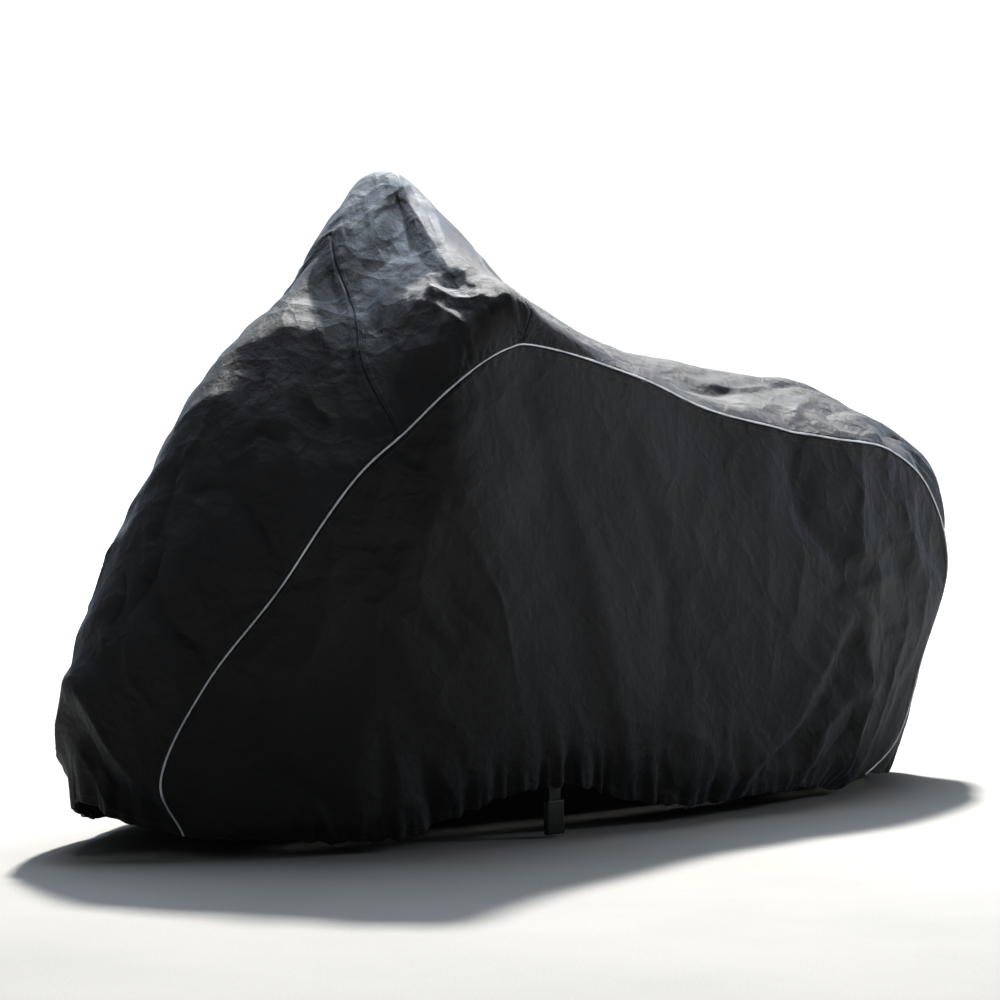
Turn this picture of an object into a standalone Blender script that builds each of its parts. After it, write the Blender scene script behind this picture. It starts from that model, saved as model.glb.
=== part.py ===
"""Fitted outdoor cover for a touring motorcycle, hanging as it does over the machine.

A centre strip runs from the front hem over the screen and the handlebars, along the seat and
down behind the tail. It is cut in three: front, hood and seat panel. A side panel hangs from
each edge of it, with a light reflective piping sewn into the two long seams. The lower edge is
an elastic hem. Under it hang the two halves of a belly strap's buckle.

x runs from the front wheel to the tail, y to the machine's right-hand side and z up from the
ground. The origin is on the ground, under the middle of the cover.
"""

from collections import namedtuple

import bmesh
import bpy
import numpy as np

COLLECTION = "motorcycle_cover"

# Driving sizes in metres.
STEM_X = -0.12  # where the steering stem stands; the rib table's x values start from it
DROP = 0.012  # how far the whole cover hangs below the rib table's heights
CLOTH = 0.002  # thickness of the coated cloth and its lining
GAP = 0.0006  # drawn back from each cut between sewn pieces
PIPING_GAP = 0.0011  # the same beside the piping, which bends with the folds
PIPING_RADIUS = 0.0022
ELASTIC_TUCK = 0.030  # how far the elastic draws the hem in under the skirt
TUCKED_SPAN = 0.5  # side panels shorter than this are drawn in less

WEBBING = (0.028, 0.0024)  # width and thickness of the belly strap
WEBBING_LENGTH = 0.036
BUCKLE = (0.042, 0.013, 0.066)  # width, thickness and length of the buckle's housing
STRAP_RIB = 8.0  # the strap hangs from the hem at this rib
SLOT_DEPTH = 0.008  # how deep the webbing's end sits in a buckle half
SLOT_SPARE = 0.0012  # width and thickness that the slot has over the webbing
SOCKET = (0.031, 0.0075, 0.038)  # the housing's mouth: width, thickness and depth
WINDOW = (0.006, 0.012)  # the release windows' thickness and length
WINDOW_RISE = 0.018  # from the mouth up to the middle of the windows
HOUSING_EDGE = 0.003  # rounding of the two halves' edges
PLUG_EDGE = 0.0015
PLUG_BAR = 0.024  # length of the plug half's solid bar
PRONG_WIDTH = 0.007
PRONG_LENGTH = 0.030
PRONG_THICKNESS = 0.006

# Number of grid steps up a side panel and across the strip.
SIDE_STEPS = 9
STRIP_STEPS = 16

# The ribs, from the front hem to the rear hem. Each is half a hoop of cloth, from the middle
# of the strip (ridge) over the shoulder to the piped seam and down the flank to the hem.
# crown and flank push the cloth out between those lines.
Rib = namedtuple(
    "Rib",
    "ridge_x ridge_z crown shoulder_x shoulder_y shoulder_z "
    "seam_x seam_y seam_z flank hem_x hem_y hem_z",
)
RIBS = (
    Rib(-0.990, 0.115, 0.010, -0.955, 0.085, 0.085, -0.860, 0.160, 0.052, 0.000, -0.820, 0.185, 0.045),
    Rib(-1.000, 0.235, 0.010, -0.965, 0.085, 0.215, -0.900, 0.150, 0.165, 0.000, -0.770, 0.220, 0.044),
    Rib(-0.965, 0.400, 0.010, -0.925, 0.105, 0.375, -0.823, 0.185, 0.335, 0.010, -0.690, 0.270, 0.040),
    Rib(-0.880, 0.570, 0.010, -0.820, 0.125, 0.545, -0.697, 0.237, 0.505, 0.020, -0.595, 0.310, 0.034),
    Rib(-0.775, 0.760, 0.010, -0.695, 0.150, 0.730, -0.573, 0.290, 0.695, 0.030, -0.480, 0.340, 0.038),
    Rib(-0.650, 0.930, 0.010, -0.560, 0.200, 0.880, -0.482, 0.330, 0.790, 0.030, -0.380, 0.352, 0.065),
    Rib(-0.490, 1.080, 0.000, -0.410, 0.250, 1.030, -0.400, 0.368, 0.873, 0.030, -0.290, 0.358, 0.095),
    Rib(-0.345, 1.235, 0.025, -0.335, 0.340, 1.035, -0.330, 0.372, 0.920, 0.030, -0.220, 0.360, 0.110),
    Rib(-0.278, 1.279, 0.030, -0.285, 0.375, 1.030, -0.265, 0.360, 0.945, 0.030, -0.150, 0.362, 0.112),
    Rib(-0.175, 1.203, 0.010, -0.235, 0.385, 1.015, -0.205, 0.343, 0.951, 0.030, -0.080, 0.362, 0.108),
    Rib(0.000, 1.067, 0.000, -0.120, 0.330, 0.975, -0.080, 0.325, 0.930, 0.030, 0.030, 0.362, 0.070),
    Rib(0.259, 0.956, 0.010, 0.130, 0.200, 0.920, 0.120, 0.285, 0.882, 0.040, 0.190, 0.355, 0.046),
    Rib(0.500, 0.900, 0.010, 0.400, 0.150, 0.855, 0.400, 0.240, 0.804, 0.050, 0.340, 0.340, 0.048),
    Rib(0.800, 0.864, 0.010, 0.690, 0.140, 0.805, 0.690, 0.230, 0.750, 0.060, 0.480, 0.315, 0.052),
    Rib(1.020, 0.780, 0.020, 0.920, 0.135, 0.765, 0.880, 0.205, 0.722, 0.050, 0.570, 0.295, 0.045),
    Rib(1.198, 0.645, 0.020, 1.080, 0.120, 0.640, 1.020, 0.180, 0.640, 0.030, 0.630, 0.275, 0.034),
    Rib(1.238, 0.480, 0.010, 1.155, 0.100, 0.470, 1.092, 0.172, 0.457, 0.015, 0.660, 0.260, 0.028),
    Rib(1.160, 0.290, 0.010, 1.080, 0.105, 0.275, 0.985, 0.190, 0.265, 0.005, 0.685, 0.252, 0.023),
    Rib(1.090, 0.110, 0.010, 0.995, 0.125, 0.110, 0.905, 0.200, 0.115, 0.000, 0.705, 0.244, 0.020),
    Rib(1.040, 0.035, 0.010, 0.930, 0.150, 0.035, 0.800, 0.220, 0.045, 0.000, 0.710, 0.238, 0.016),
)
LAST_RIB = len(RIBS) - 1

# The lines along the cover that each rib crosses, numbered up from the hem.
HEM, SKIRT, FLANK, SEAM, SHOULDER, CROWN, RIDGE = range(7)
SKIRT_SHARE = 0.12  # of the way from hem to seam
FLANK_SHARE = 0.52

# The handlebars are turned a little, so the far shoulder lies further back there.
TURNED_BARS = {"rib": 6.8, "reach": 1.3, "back": 0.060, "down": 0.010}

# On the left the cloth hangs hollow between the screen and the handlebars.
SCREEN_HOLLOW = {"rib": 7.7, "reach": 1.5, "depth": 0.040}

# Along the seat the cloth bends keenly at the piping, and elsewhere it is rounded there.
SEAM_BEND = {"rib": 12.4, "reach": 3.4, "share": 0.9}

# Where the strip is cut across: the rib at the piping and the one on the ridge. The strip's
# panels lie between one cut and the next, in a number of grid steps.
Cut = namedtuple("Cut", "at_seam at_ridge curve")
FRONT_HEM = Cut(0, 0, 1.0)
FRONT_SEAM = Cut(4.9, 6.5, 1.15)
HOOD_SEAM = Cut(8.75, 9.5, 1.0)
REAR_HEM = Cut(LAST_RIB, LAST_RIB, 1.0)

StripPanel = namedtuple("StripPanel", "name start end steps")
STRIP = (
    StripPanel("front_panel", FRONT_HEM, FRONT_SEAM, 15),
    StripPanel("hood_panel", FRONT_SEAM, HOOD_SEAM, 12),
    StripPanel("seat_panel", HOOD_SEAM, REAR_HEM, 31),
)

# Main folds: side (-1 left, +1 right), height in metres (negative is a trough), half width in
# metres, and the path as (rib, line) places on the cover.
Fold = namedtuple("Fold", "side height width path")
FOLDS = (
    # skirt of the left rear corner, where the elastic pulls the spare cloth forward and down
    Fold(-1, 0.016, 0.040, ((13.5, 1.9), (12.8, 1.4), (12.1, 0.9), (11.8, 0.4))),
    Fold(-1, -0.014, 0.038, ((13.7, 1.8), (13.4, 1.4), (12.6, 0.8))),
    Fold(-1, 0.014, 0.036, ((14.3, 1.5), (13.5, 1.2), (13.1, 0.4))),
    Fold(-1, 0.016, 0.042, ((13.9, 2.0), (14.7, 1.5), (15.2, 0.9))),
    # below the left end of the seat
    Fold(-1, -0.012, 0.040, ((12.6, 2.9), (12.7, 2.5), (13.1, 2.3))),
    Fold(-1, 0.012, 0.045, ((13.4, 2.8), (13.5, 2.4))),
    # left flank
    Fold(-1, -0.010, 0.060, ((2.0, 2.8), (2.4, 1.8), (2.9, 1.2))),
    Fold(-1, 0.012, 0.060, ((3.6, 2.8), (3.2, 2.4), (2.4, 2.5))),
    Fold(-1, 0.014, 0.070, ((8.0, 3.5), (6.0, 3.3), (5.4, 2.9), (4.6, 2.3))),
    Fold(-1, -0.014, 0.050, ((5.4, 3.2), (4.8, 2.7))),
    Fold(-1, -0.012, 0.060, ((4.2, 1.6), (4.5, 0.4))),
    Fold(-1, 0.010, 0.080, ((9.5, 2.2), (10.4, 1.1))),
    Fold(-1, 0.010, 0.050, ((10.9, 1.3), (11.2, 0.6))),
    # nose, where the front hem sags in a long roll
    Fold(-1, 0.016, 0.040, ((1.6, 5.8), (0.8, 3.7), (0.6, 2.0))),
    Fold(-1, -0.016, 0.040, ((1.1, 5.5), (0.6, 4.1), (0.3, 3.0))),
    Fold(-1, 0.012, 0.050, ((5.6, 5.4), (4.3, 3.9), (3.4, 3.2))),
    # hood, between the screen and the handlebars
    Fold(-1, -0.014, 0.055, ((7.2, 5.5), (6.8, 4.9), (7.0, 4.3))),
    Fold(1, -0.014, 0.055, ((7.2, 5.4), (7.0, 4.4))),
    # hollow along the seat
    Fold(-1, -0.012, 0.050, ((11.6, 4.2), (12.2, 4.3), (12.8, 5.2))),
    Fold(1, -0.012, 0.050, ((11.7, 4.4), (12.6, 4.6))),
    # right side
    Fold(1, 0.016, 0.042, ((13.5, 2.0), (12.9, 1.3), (12.3, 0.5))),
    Fold(1, -0.014, 0.040, ((14.1, 1.9), (13.5, 1.2), (13.0, 0.4))),
    Fold(1, 0.014, 0.040, ((14.6, 1.7), (14.3, 0.8))),
    Fold(1, 0.014, 0.070, ((8.2, 3.4), (6.6, 2.7), (5.6, 2.0))),
    Fold(1, -0.012, 0.060, ((3.4, 2.6), (3.9, 1.5), (4.4, 0.5))),
    Fold(1, 0.012, 0.060, ((2.2, 2.6), (2.8, 1.4))),
    Fold(1, 0.010, 0.080, ((10.0, 2.4), (9.4, 1.0))),
    Fold(1, 0.014, 0.040, ((1.5, 5.6), (0.9, 3.8), (0.7, 2.2))),
)
FOLD_SAMPLES = 8  # points that stand for each stretch of a fold's path

# Slack cloth never hangs quite even: long low swells across the whole cover.
Swell = namedtuple("Swell", "height wave_x wave_y wave_z phase")
SWELLS = (
    Swell(0.0040, 9.0, 5.0, 4.0, 0.6),
    Swell(0.0030, 4.0, -7.0, 11.0, 2.1),
    Swell(0.0020, 17.0, 6.0, -9.0, 4.0),
)

Finish = namedtuple("Finish", "color roughness metallic")
FINISHES = {
    "cover_cloth": Finish((0.022, 0.022, 0.025), 0.62, 0.0),
    "reflective_piping": Finish((0.55, 0.56, 0.58), 0.38, 0.0),
    "strap_webbing": Finish((0.012, 0.012, 0.014), 0.85, 0.0),
    "buckle_plastic": Finish((0.010, 0.010, 0.011), 0.42, 0.0),
}


def clear_scene():
    for obj in list(bpy.data.objects):
        bpy.data.objects.remove(obj, do_unlink=True)


def new_collection(name):
    collection = bpy.data.collections.new(name)
    bpy.context.scene.collection.children.link(collection)
    return collection


def material(slot):
    """The finish's Principled material, made once."""
    if slot in bpy.data.materials:
        return bpy.data.materials[slot]
    finish = FINISHES[slot]
    made = bpy.data.materials.new(slot)
    made.use_nodes = True
    shader = made.node_tree.nodes["Principled BSDF"]
    shader.inputs["Base Color"].default_value = (*finish.color, 1.0)
    shader.inputs["Roughness"].default_value = finish.roughness
    shader.inputs["Metallic"].default_value = finish.metallic
    return made


def along(name, rib):
    """A column of the rib table at any rib number, on a smooth curve through its rows."""
    values = np.array([getattr(row, name) for row in RIBS])
    first = np.clip(np.floor(rib).astype(int), 0, LAST_RIB - 1)
    part = rib - first
    before, start, end, after = (values[np.clip(first + k, 0, LAST_RIB)] for k in (-1, 0, 1, 2))
    slope_in = (end - before) / 2
    slope_out = (after - start) / 2
    return (
        (2 * part**3 - 3 * part**2 + 1) * start
        + (part**3 - 2 * part**2 + part) * slope_in
        + (3 * part**2 - 2 * part**3) * end
        + (part**3 - part**2) * slope_out
    )


def length(vectors):
    return np.linalg.norm(vectors, axis=-1, keepdims=True)


def hoop(side, rib):
    """The points where the cover's lines cross a hoop of cloth, from hem to ridge, with one
    more before the hem and two more on the other side of the ridge, to shape its ends."""
    side = side[:, None]
    zero = np.zeros_like(rib)

    def place(line, y):
        x, z = along(line + "_x", rib) + STEM_X, along(line + "_z", rib) - DROP
        return np.stack([x, y, z], axis=1)

    outward = np.array([0.0, 1.0, 0.0]) * side
    hem = place("hem", side[:, 0] * along("hem_y", rib))
    seam = place("seam", side[:, 0] * along("seam_y", rib))
    shoulder = place("shoulder", side[:, 0] * along("shoulder_y", rib))
    ridge = place("ridge", zero)

    turned = np.exp(-(((rib - TURNED_BARS["rib"]) / TURNED_BARS["reach"]) ** 2)) * (side[:, 0] > 0)
    shoulder = shoulder + turned[:, None] * np.array([TURNED_BARS["back"], 0, -TURNED_BARS["down"]])

    drop = seam - hem
    tuck = ELASTIC_TUCK * np.minimum(1.0, length(drop) / TUCKED_SPAN)
    skirt = hem + drop * SKIRT_SHARE + outward * tuck
    flank = hem + drop * FLANK_SHARE + outward * along("flank", rib)[:, None]

    chord = ridge - shoulder
    along_chord = chord / length(chord)
    off_chord = outward - along_chord * (outward * along_chord).sum(axis=1, keepdims=True)
    hollow = SCREEN_HOLLOW["depth"] * np.exp(-(((rib - SCREEN_HOLLOW["rib"]) / SCREEN_HOLLOW["reach"]) ** 2))
    rise = along("crown", rib) - hollow * (side[:, 0] < 0)
    push = off_chord / length(off_chord) * rise[:, None]
    crown = (shoulder + ridge) / 2 + push

    mirror = np.array([1.0, -1.0, 1.0])
    lines = [2 * hem - skirt, hem, skirt, flank, seam, shoulder, crown, ridge]
    return np.stack(lines + [crown * mirror, shoulder * mirror], axis=1)


def smooth_cover(side, rib, line):
    """Places on the cover without its folds. side, rib and line are arrays of one length."""
    points = hoop(side, rib)
    first = np.clip(np.floor(line).astype(int), HEM, RIDGE - 1)
    part = (line - first)[:, None]
    rows = np.arange(len(rib))
    p0, p1, p2, p3 = (points[rows, first + k] for k in range(4))
    keen = SEAM_BEND["share"] * np.exp(-(((rib - SEAM_BEND["rib"]) / SEAM_BEND["reach"]) ** 4))[:, None]
    p0 = np.where(first[:, None] == SEAM, p0 + keen * (2 * p1 - p2 - p0), p0)
    p3 = np.where(first[:, None] == FLANK, p3 + keen * (2 * p2 - p1 - p3), p3)
    # centripetal Catmull-Rom curve between p1 and p2
    t1 = np.sqrt(length(p1 - p0))
    t2 = t1 + np.sqrt(length(p2 - p1))
    t3 = t2 + np.sqrt(length(p3 - p2))
    t = t1 + part * (t2 - t1)
    a1 = p0 + (p1 - p0) * t / t1
    a2 = p1 + (p2 - p1) * (t - t1) / (t2 - t1)
    a3 = p2 + (p3 - p2) * (t - t2) / (t3 - t2)
    b1 = a1 + (a2 - a1) * t / t2
    b2 = a2 + (a3 - a2) * (t - t1) / (t3 - t1)
    return b1 + (b2 - b1) * (t - t1) / (t2 - t1)


def outward_normals(side, rib, line):
    """Unit normals of the smooth cover, from small steps along and across it."""
    step = 0.02
    ahead = np.minimum(rib + step, LAST_RIB)
    behind = np.maximum(rib - step, 0)
    above = np.minimum(line + step, RIDGE)
    below = np.maximum(line - step, HEM)
    lengthwise = smooth_cover(side, ahead, line) - smooth_cover(side, behind, line)
    upward = smooth_cover(side, rib, above) - smooth_cover(side, rib, below)
    normals = np.cross(lengthwise, upward) * -side[:, None]
    return normals / length(normals)


def fold_heights(points):
    """How far the folds and swells push each point of the smooth cover out."""
    heights = np.zeros(len(points))
    for fold in FOLDS:
        path = np.array(fold.path)
        stretches = len(path) - 1
        at = np.linspace(0, stretches, stretches * FOLD_SAMPLES + 1)
        rib = np.interp(at, range(stretches + 1), path[:, 0])
        line = np.interp(at, range(stretches + 1), path[:, 1])
        middle = smooth_cover(np.full(len(at), float(fold.side)), rib, line)
        distance = length(points[:, None] - middle[None])[..., 0].min(axis=1)
        heights += fold.height * np.exp(-((distance / fold.width) ** 2))
    for swell in SWELLS:
        waves = np.array([swell.wave_x, swell.wave_y, swell.wave_z])
        heights += swell.height * np.sin(points @ waves + swell.phase)
    return heights


def cover(side, rib, line):
    """Places on the outer face of the cover, folds and all."""
    side, rib, line = (np.asarray(a, float).ravel() for a in np.broadcast_arrays(side, rib, line))
    points = smooth_cover(side, rib, line)
    heights = fold_heights(points)
    return points + outward_normals(side, rib, line) * heights[:, None]


def hold_back(grid, axis, end, distance):
    """Draws one border of a grid of points in over the cloth, by a distance measured square
    to the border."""
    border, inner = (0, 1) if end == "first" else (-1, -2)
    moved = np.moveaxis(grid, axis, 0)
    way = moved[inner] - moved[border]
    way /= length(way)
    run = np.gradient(moved[border], axis=0)
    run /= length(run)
    square = length(way - run * (way * run).sum(axis=-1, keepdims=True))
    moved[border] += way / square * distance


def sheet(name, grid, collection):
    """A sheet of cloth: a grid primitive laid on the points, with the cloth's thickness
    on its inner face."""
    steps_u, steps_v = grid.shape[0] - 1, grid.shape[1] - 1
    mesh = bpy.data.meshes.new(name)
    form = bmesh.new()
    bmesh.ops.create_grid(form, x_segments=steps_u, y_segments=steps_v, size=1.0)
    for vertex in form.verts:
        u = round((vertex.co.x + 1) / 2 * steps_u)
        v = round((vertex.co.y + 1) / 2 * steps_v)
        vertex.co = grid[u, v]
    form.to_mesh(mesh)
    form.free()
    mesh.shade_smooth()
    mesh.materials.append(material("cover_cloth"))
    obj = bpy.data.objects.new(name, mesh)
    collection.objects.link(obj)
    thickness = obj.modifiers.new("cloth thickness", "SOLIDIFY")
    thickness.thickness = CLOTH
    thickness.offset = -1.0
    return obj


def cut_rib(at, line):
    """The rib number of a cut where it crosses a line of the strip."""
    share = ((line - SEAM) / (RIDGE - SEAM)) ** at.curve
    return at.at_seam + (at.at_ridge - at.at_seam) * share


def seam_ribs():
    """The rib numbers of the grid's points along the piped seam, shared by all that meets it."""
    stretches = [
        np.linspace(panel.start.at_seam, panel.end.at_seam, panel.steps + 1) for panel in STRIP
    ]
    return np.concatenate([stretches[0]] + [stretch[1:] for stretch in stretches[1:]])


def side_panel(name, side, collection):
    """The cloth from the hem up to the piped seam on one side."""
    rib = seam_ribs()
    line = np.linspace(HEM, SEAM, SIDE_STEPS + 1)
    if side > 0:
        line = line[::-1]
    grid = cover(side, rib[:, None], line[None]).reshape(len(rib), len(line), 3)
    hold_back(grid, 1, "first" if side > 0 else "last", PIPING_RADIUS + PIPING_GAP)
    return sheet(name, grid, collection)


def strip_panel(panel, collection):
    """The centre strip's cloth between two of its cuts, from the left seam to the right one."""
    across = np.linspace(SEAM - RIDGE, RIDGE - SEAM, STRIP_STEPS + 1)
    line = RIDGE - np.abs(across)
    side = np.where(across < 0, -1.0, 1.0)
    first = cut_rib(panel.start, line)
    last = cut_rib(panel.end, line)
    rib = first + (last - first) * np.linspace(0, 1, panel.steps + 1)[:, None]
    grid = cover(side, rib, line).reshape(*rib.shape, 3)
    for border in ("first", "last"):
        hold_back(grid, 0, border, GAP)
        hold_back(grid, 1, border, PIPING_RADIUS + PIPING_GAP)
    return sheet(panel.name, grid, collection)


def piping(name, side, collection):
    """The piping's round cord along the whole seam."""
    points = cover(side, seam_ribs(), float(SEAM))
    curve = bpy.data.curves.new(name, "CURVE")
    curve.dimensions = "3D"
    curve.bevel_depth = PIPING_RADIUS
    curve.bevel_resolution = 1
    curve.use_fill_caps = True
    spline = curve.splines.new("POLY")
    spline.points.add(len(points) - 1)
    for spot, point in zip(spline.points, points, strict=True):
        spot.co = (*point, 1.0)
    curve.materials.append(material("reflective_piping"))
    obj = bpy.data.objects.new(name, curve)
    collection.objects.link(obj)
    return obj


def block(name, size, centre, slot, collection):
    """A rectangular block with its size and place in its mesh."""
    mesh = bpy.data.meshes.new(name)
    form = bmesh.new()
    bmesh.ops.create_cube(form, size=1.0)
    for vertex in form.verts:
        vertex.co = [c * s for c, s in zip(vertex.co, size, strict=True)]
    form.to_mesh(mesh)
    form.free()
    mesh.materials.append(material(slot))
    obj = bpy.data.objects.new(name, mesh)
    obj.location = centre
    collection.objects.link(obj)
    return obj


def round_edges(obj, width):
    bevel = obj.modifiers.new("rounded edges", "BEVEL")
    bevel.width = width
    bevel.segments = 2


def cut(obj, size, centre, cutters):
    """Cuts a rectangular hollow into a block."""
    cutter = block(obj.name + "_cutter", size, centre, "buckle_plastic", cutters)
    cutter.hide_render = True
    cutter.display_type = "WIRE"
    boolean = obj.modifiers.new("hollow", "BOOLEAN")
    boolean.operation = "DIFFERENCE"
    boolean.object = cutter


def strap_top(side):
    """Where the webbing is sewn under the elastic hem: just below the hem's edge, which is
    followed over the webbing's width."""
    hem = cover(side, seam_ribs(), float(HEM))
    middle = cover(side, STRAP_RIB, float(HEM))[0, 0]
    across = middle + np.linspace(-0.5, 0.5, 5) * WEBBING[0]
    y = np.interp(across, hem[:, 0], hem[:, 1]).mean() - side * CLOTH / 2
    z = np.interp(across, hem[:, 0], hem[:, 2]).min() - GAP
    return np.array([middle, y, z])


def webbing(name, side, collection):
    top = strap_top(side)
    size = (WEBBING[0], WEBBING[1], WEBBING_LENGTH)
    centre = (top[0], top[1], top[2] - WEBBING_LENGTH / 2)
    return block(name, size, centre, "strap_webbing", collection)


def webbing_slot(obj, top, end_z, cutters):
    """The slot in a buckle half that the webbing's end sits in."""
    width, thickness = WEBBING
    size = (width + SLOT_SPARE, thickness + SLOT_SPARE, 2 * (SLOT_DEPTH + GAP))
    cut(obj, size, (top[0], top[1], end_z), cutters)


def buckle_housing(name, side, collection, cutters):
    """The buckle's socket half: a rounded housing with a mouth below and two side windows."""
    top = strap_top(side)
    upper_z = top[2] - WEBBING_LENGTH + SLOT_DEPTH
    centre = (top[0], top[1], upper_z - BUCKLE[2] / 2)
    housing = block(name, BUCKLE, centre, "buckle_plastic", collection)
    round_edges(housing, HOUSING_EDGE)
    webbing_slot(housing, top, upper_z, cutters)
    mouth_z = upper_z - BUCKLE[2]
    cut(housing, (SOCKET[0], SOCKET[1], 2 * SOCKET[2]), (top[0], top[1], mouth_z), cutters)
    window = (BUCKLE[0] * 2, WINDOW[0], WINDOW[1])
    cut(housing, window, (top[0], top[1], mouth_z + WINDOW_RISE), cutters)
    return housing


def buckle_plug(name, side, collection, cutters):
    """The buckle's plug half: a solid bar with a middle tongue and two sprung arms."""
    top = strap_top(side)
    upper_z = top[2] - WEBBING_LENGTH + SLOT_DEPTH
    height = PLUG_BAR + PRONG_LENGTH
    size = (BUCKLE[0], PRONG_THICKNESS, height)
    plug = block(name, size, (top[0], top[1], upper_z - height / 2), "buckle_plastic", collection)
    round_edges(plug, PLUG_EDGE)
    webbing_slot(plug, top, upper_z, cutters)
    gap_width = (BUCKLE[0] - 3 * PRONG_WIDTH) / 2
    for way in (-1, 1):
        x = top[0] + way * (PRONG_WIDTH + gap_width) / 2
        gap = (gap_width, PRONG_THICKNESS * 2, 2 * PRONG_LENGTH)
        cut(plug, gap, (x, top[1], upper_z - height), cutters)
    return plug


def main():
    clear_scene()
    parts = new_collection(COLLECTION)
    cutters = new_collection("cutters")
    for panel in STRIP:
        strip_panel(panel, parts)
    for word, side in (("left", -1.0), ("right", 1.0)):
        side_panel("side_panel_" + word, side, parts)
        piping("piping_" + word, side, parts)
        webbing("belly_strap_" + word, side, parts)
    buckle_housing("buckle_housing_left", -1.0, parts, cutters)
    buckle_plug("buckle_plug_right", 1.0, parts, cutters)


main()
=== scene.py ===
"""Looks of the fitted outdoor cover for a touring motorcycle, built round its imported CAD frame.

x runs from the front wheel to the tail, y to the machine's right-hand side and z up from the
ground, in metres. Each panel of the cover is a fine sheet laid on the same tables of ribs and
folds as the CAD panel that it stands for, with creases, crumples and gathers worked into it.
"""

import math
from collections import namedtuple

import bpy
import numpy as np
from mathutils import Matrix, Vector


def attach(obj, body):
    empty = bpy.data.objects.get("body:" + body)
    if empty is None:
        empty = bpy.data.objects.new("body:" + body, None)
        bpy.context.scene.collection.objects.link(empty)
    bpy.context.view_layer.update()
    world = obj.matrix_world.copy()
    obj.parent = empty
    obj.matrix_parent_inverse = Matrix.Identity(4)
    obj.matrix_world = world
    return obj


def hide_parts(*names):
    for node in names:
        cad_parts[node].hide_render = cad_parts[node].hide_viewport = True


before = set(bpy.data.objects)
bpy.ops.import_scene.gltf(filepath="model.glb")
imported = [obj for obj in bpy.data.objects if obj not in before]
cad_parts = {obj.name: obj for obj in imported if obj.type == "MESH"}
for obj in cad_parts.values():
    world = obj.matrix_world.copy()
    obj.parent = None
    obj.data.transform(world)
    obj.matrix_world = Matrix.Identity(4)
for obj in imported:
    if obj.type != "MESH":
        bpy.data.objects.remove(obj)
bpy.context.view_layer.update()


# ---- the cover's cut: the same ribs, lines and folds as in the CAD ----

STEM_X = -0.12  # where the steering stem stands; the rib table's x values start from it
DROP = 0.012  # how far the whole cover hangs below the rib table's heights
GAP = 0.0004  # drawn back from each cut between sewn sheets, a little less than in the solids
PIPING_RADIUS = 0.0022
ELASTIC_TUCK = 0.030  # how far the elastic draws the hem in under the skirt
TUCKED_SPAN = 0.5  # side panels shorter than this are drawn in less
CLOTH = 0.0012  # thickness of the coated cloth, thinner than in the solids

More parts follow.
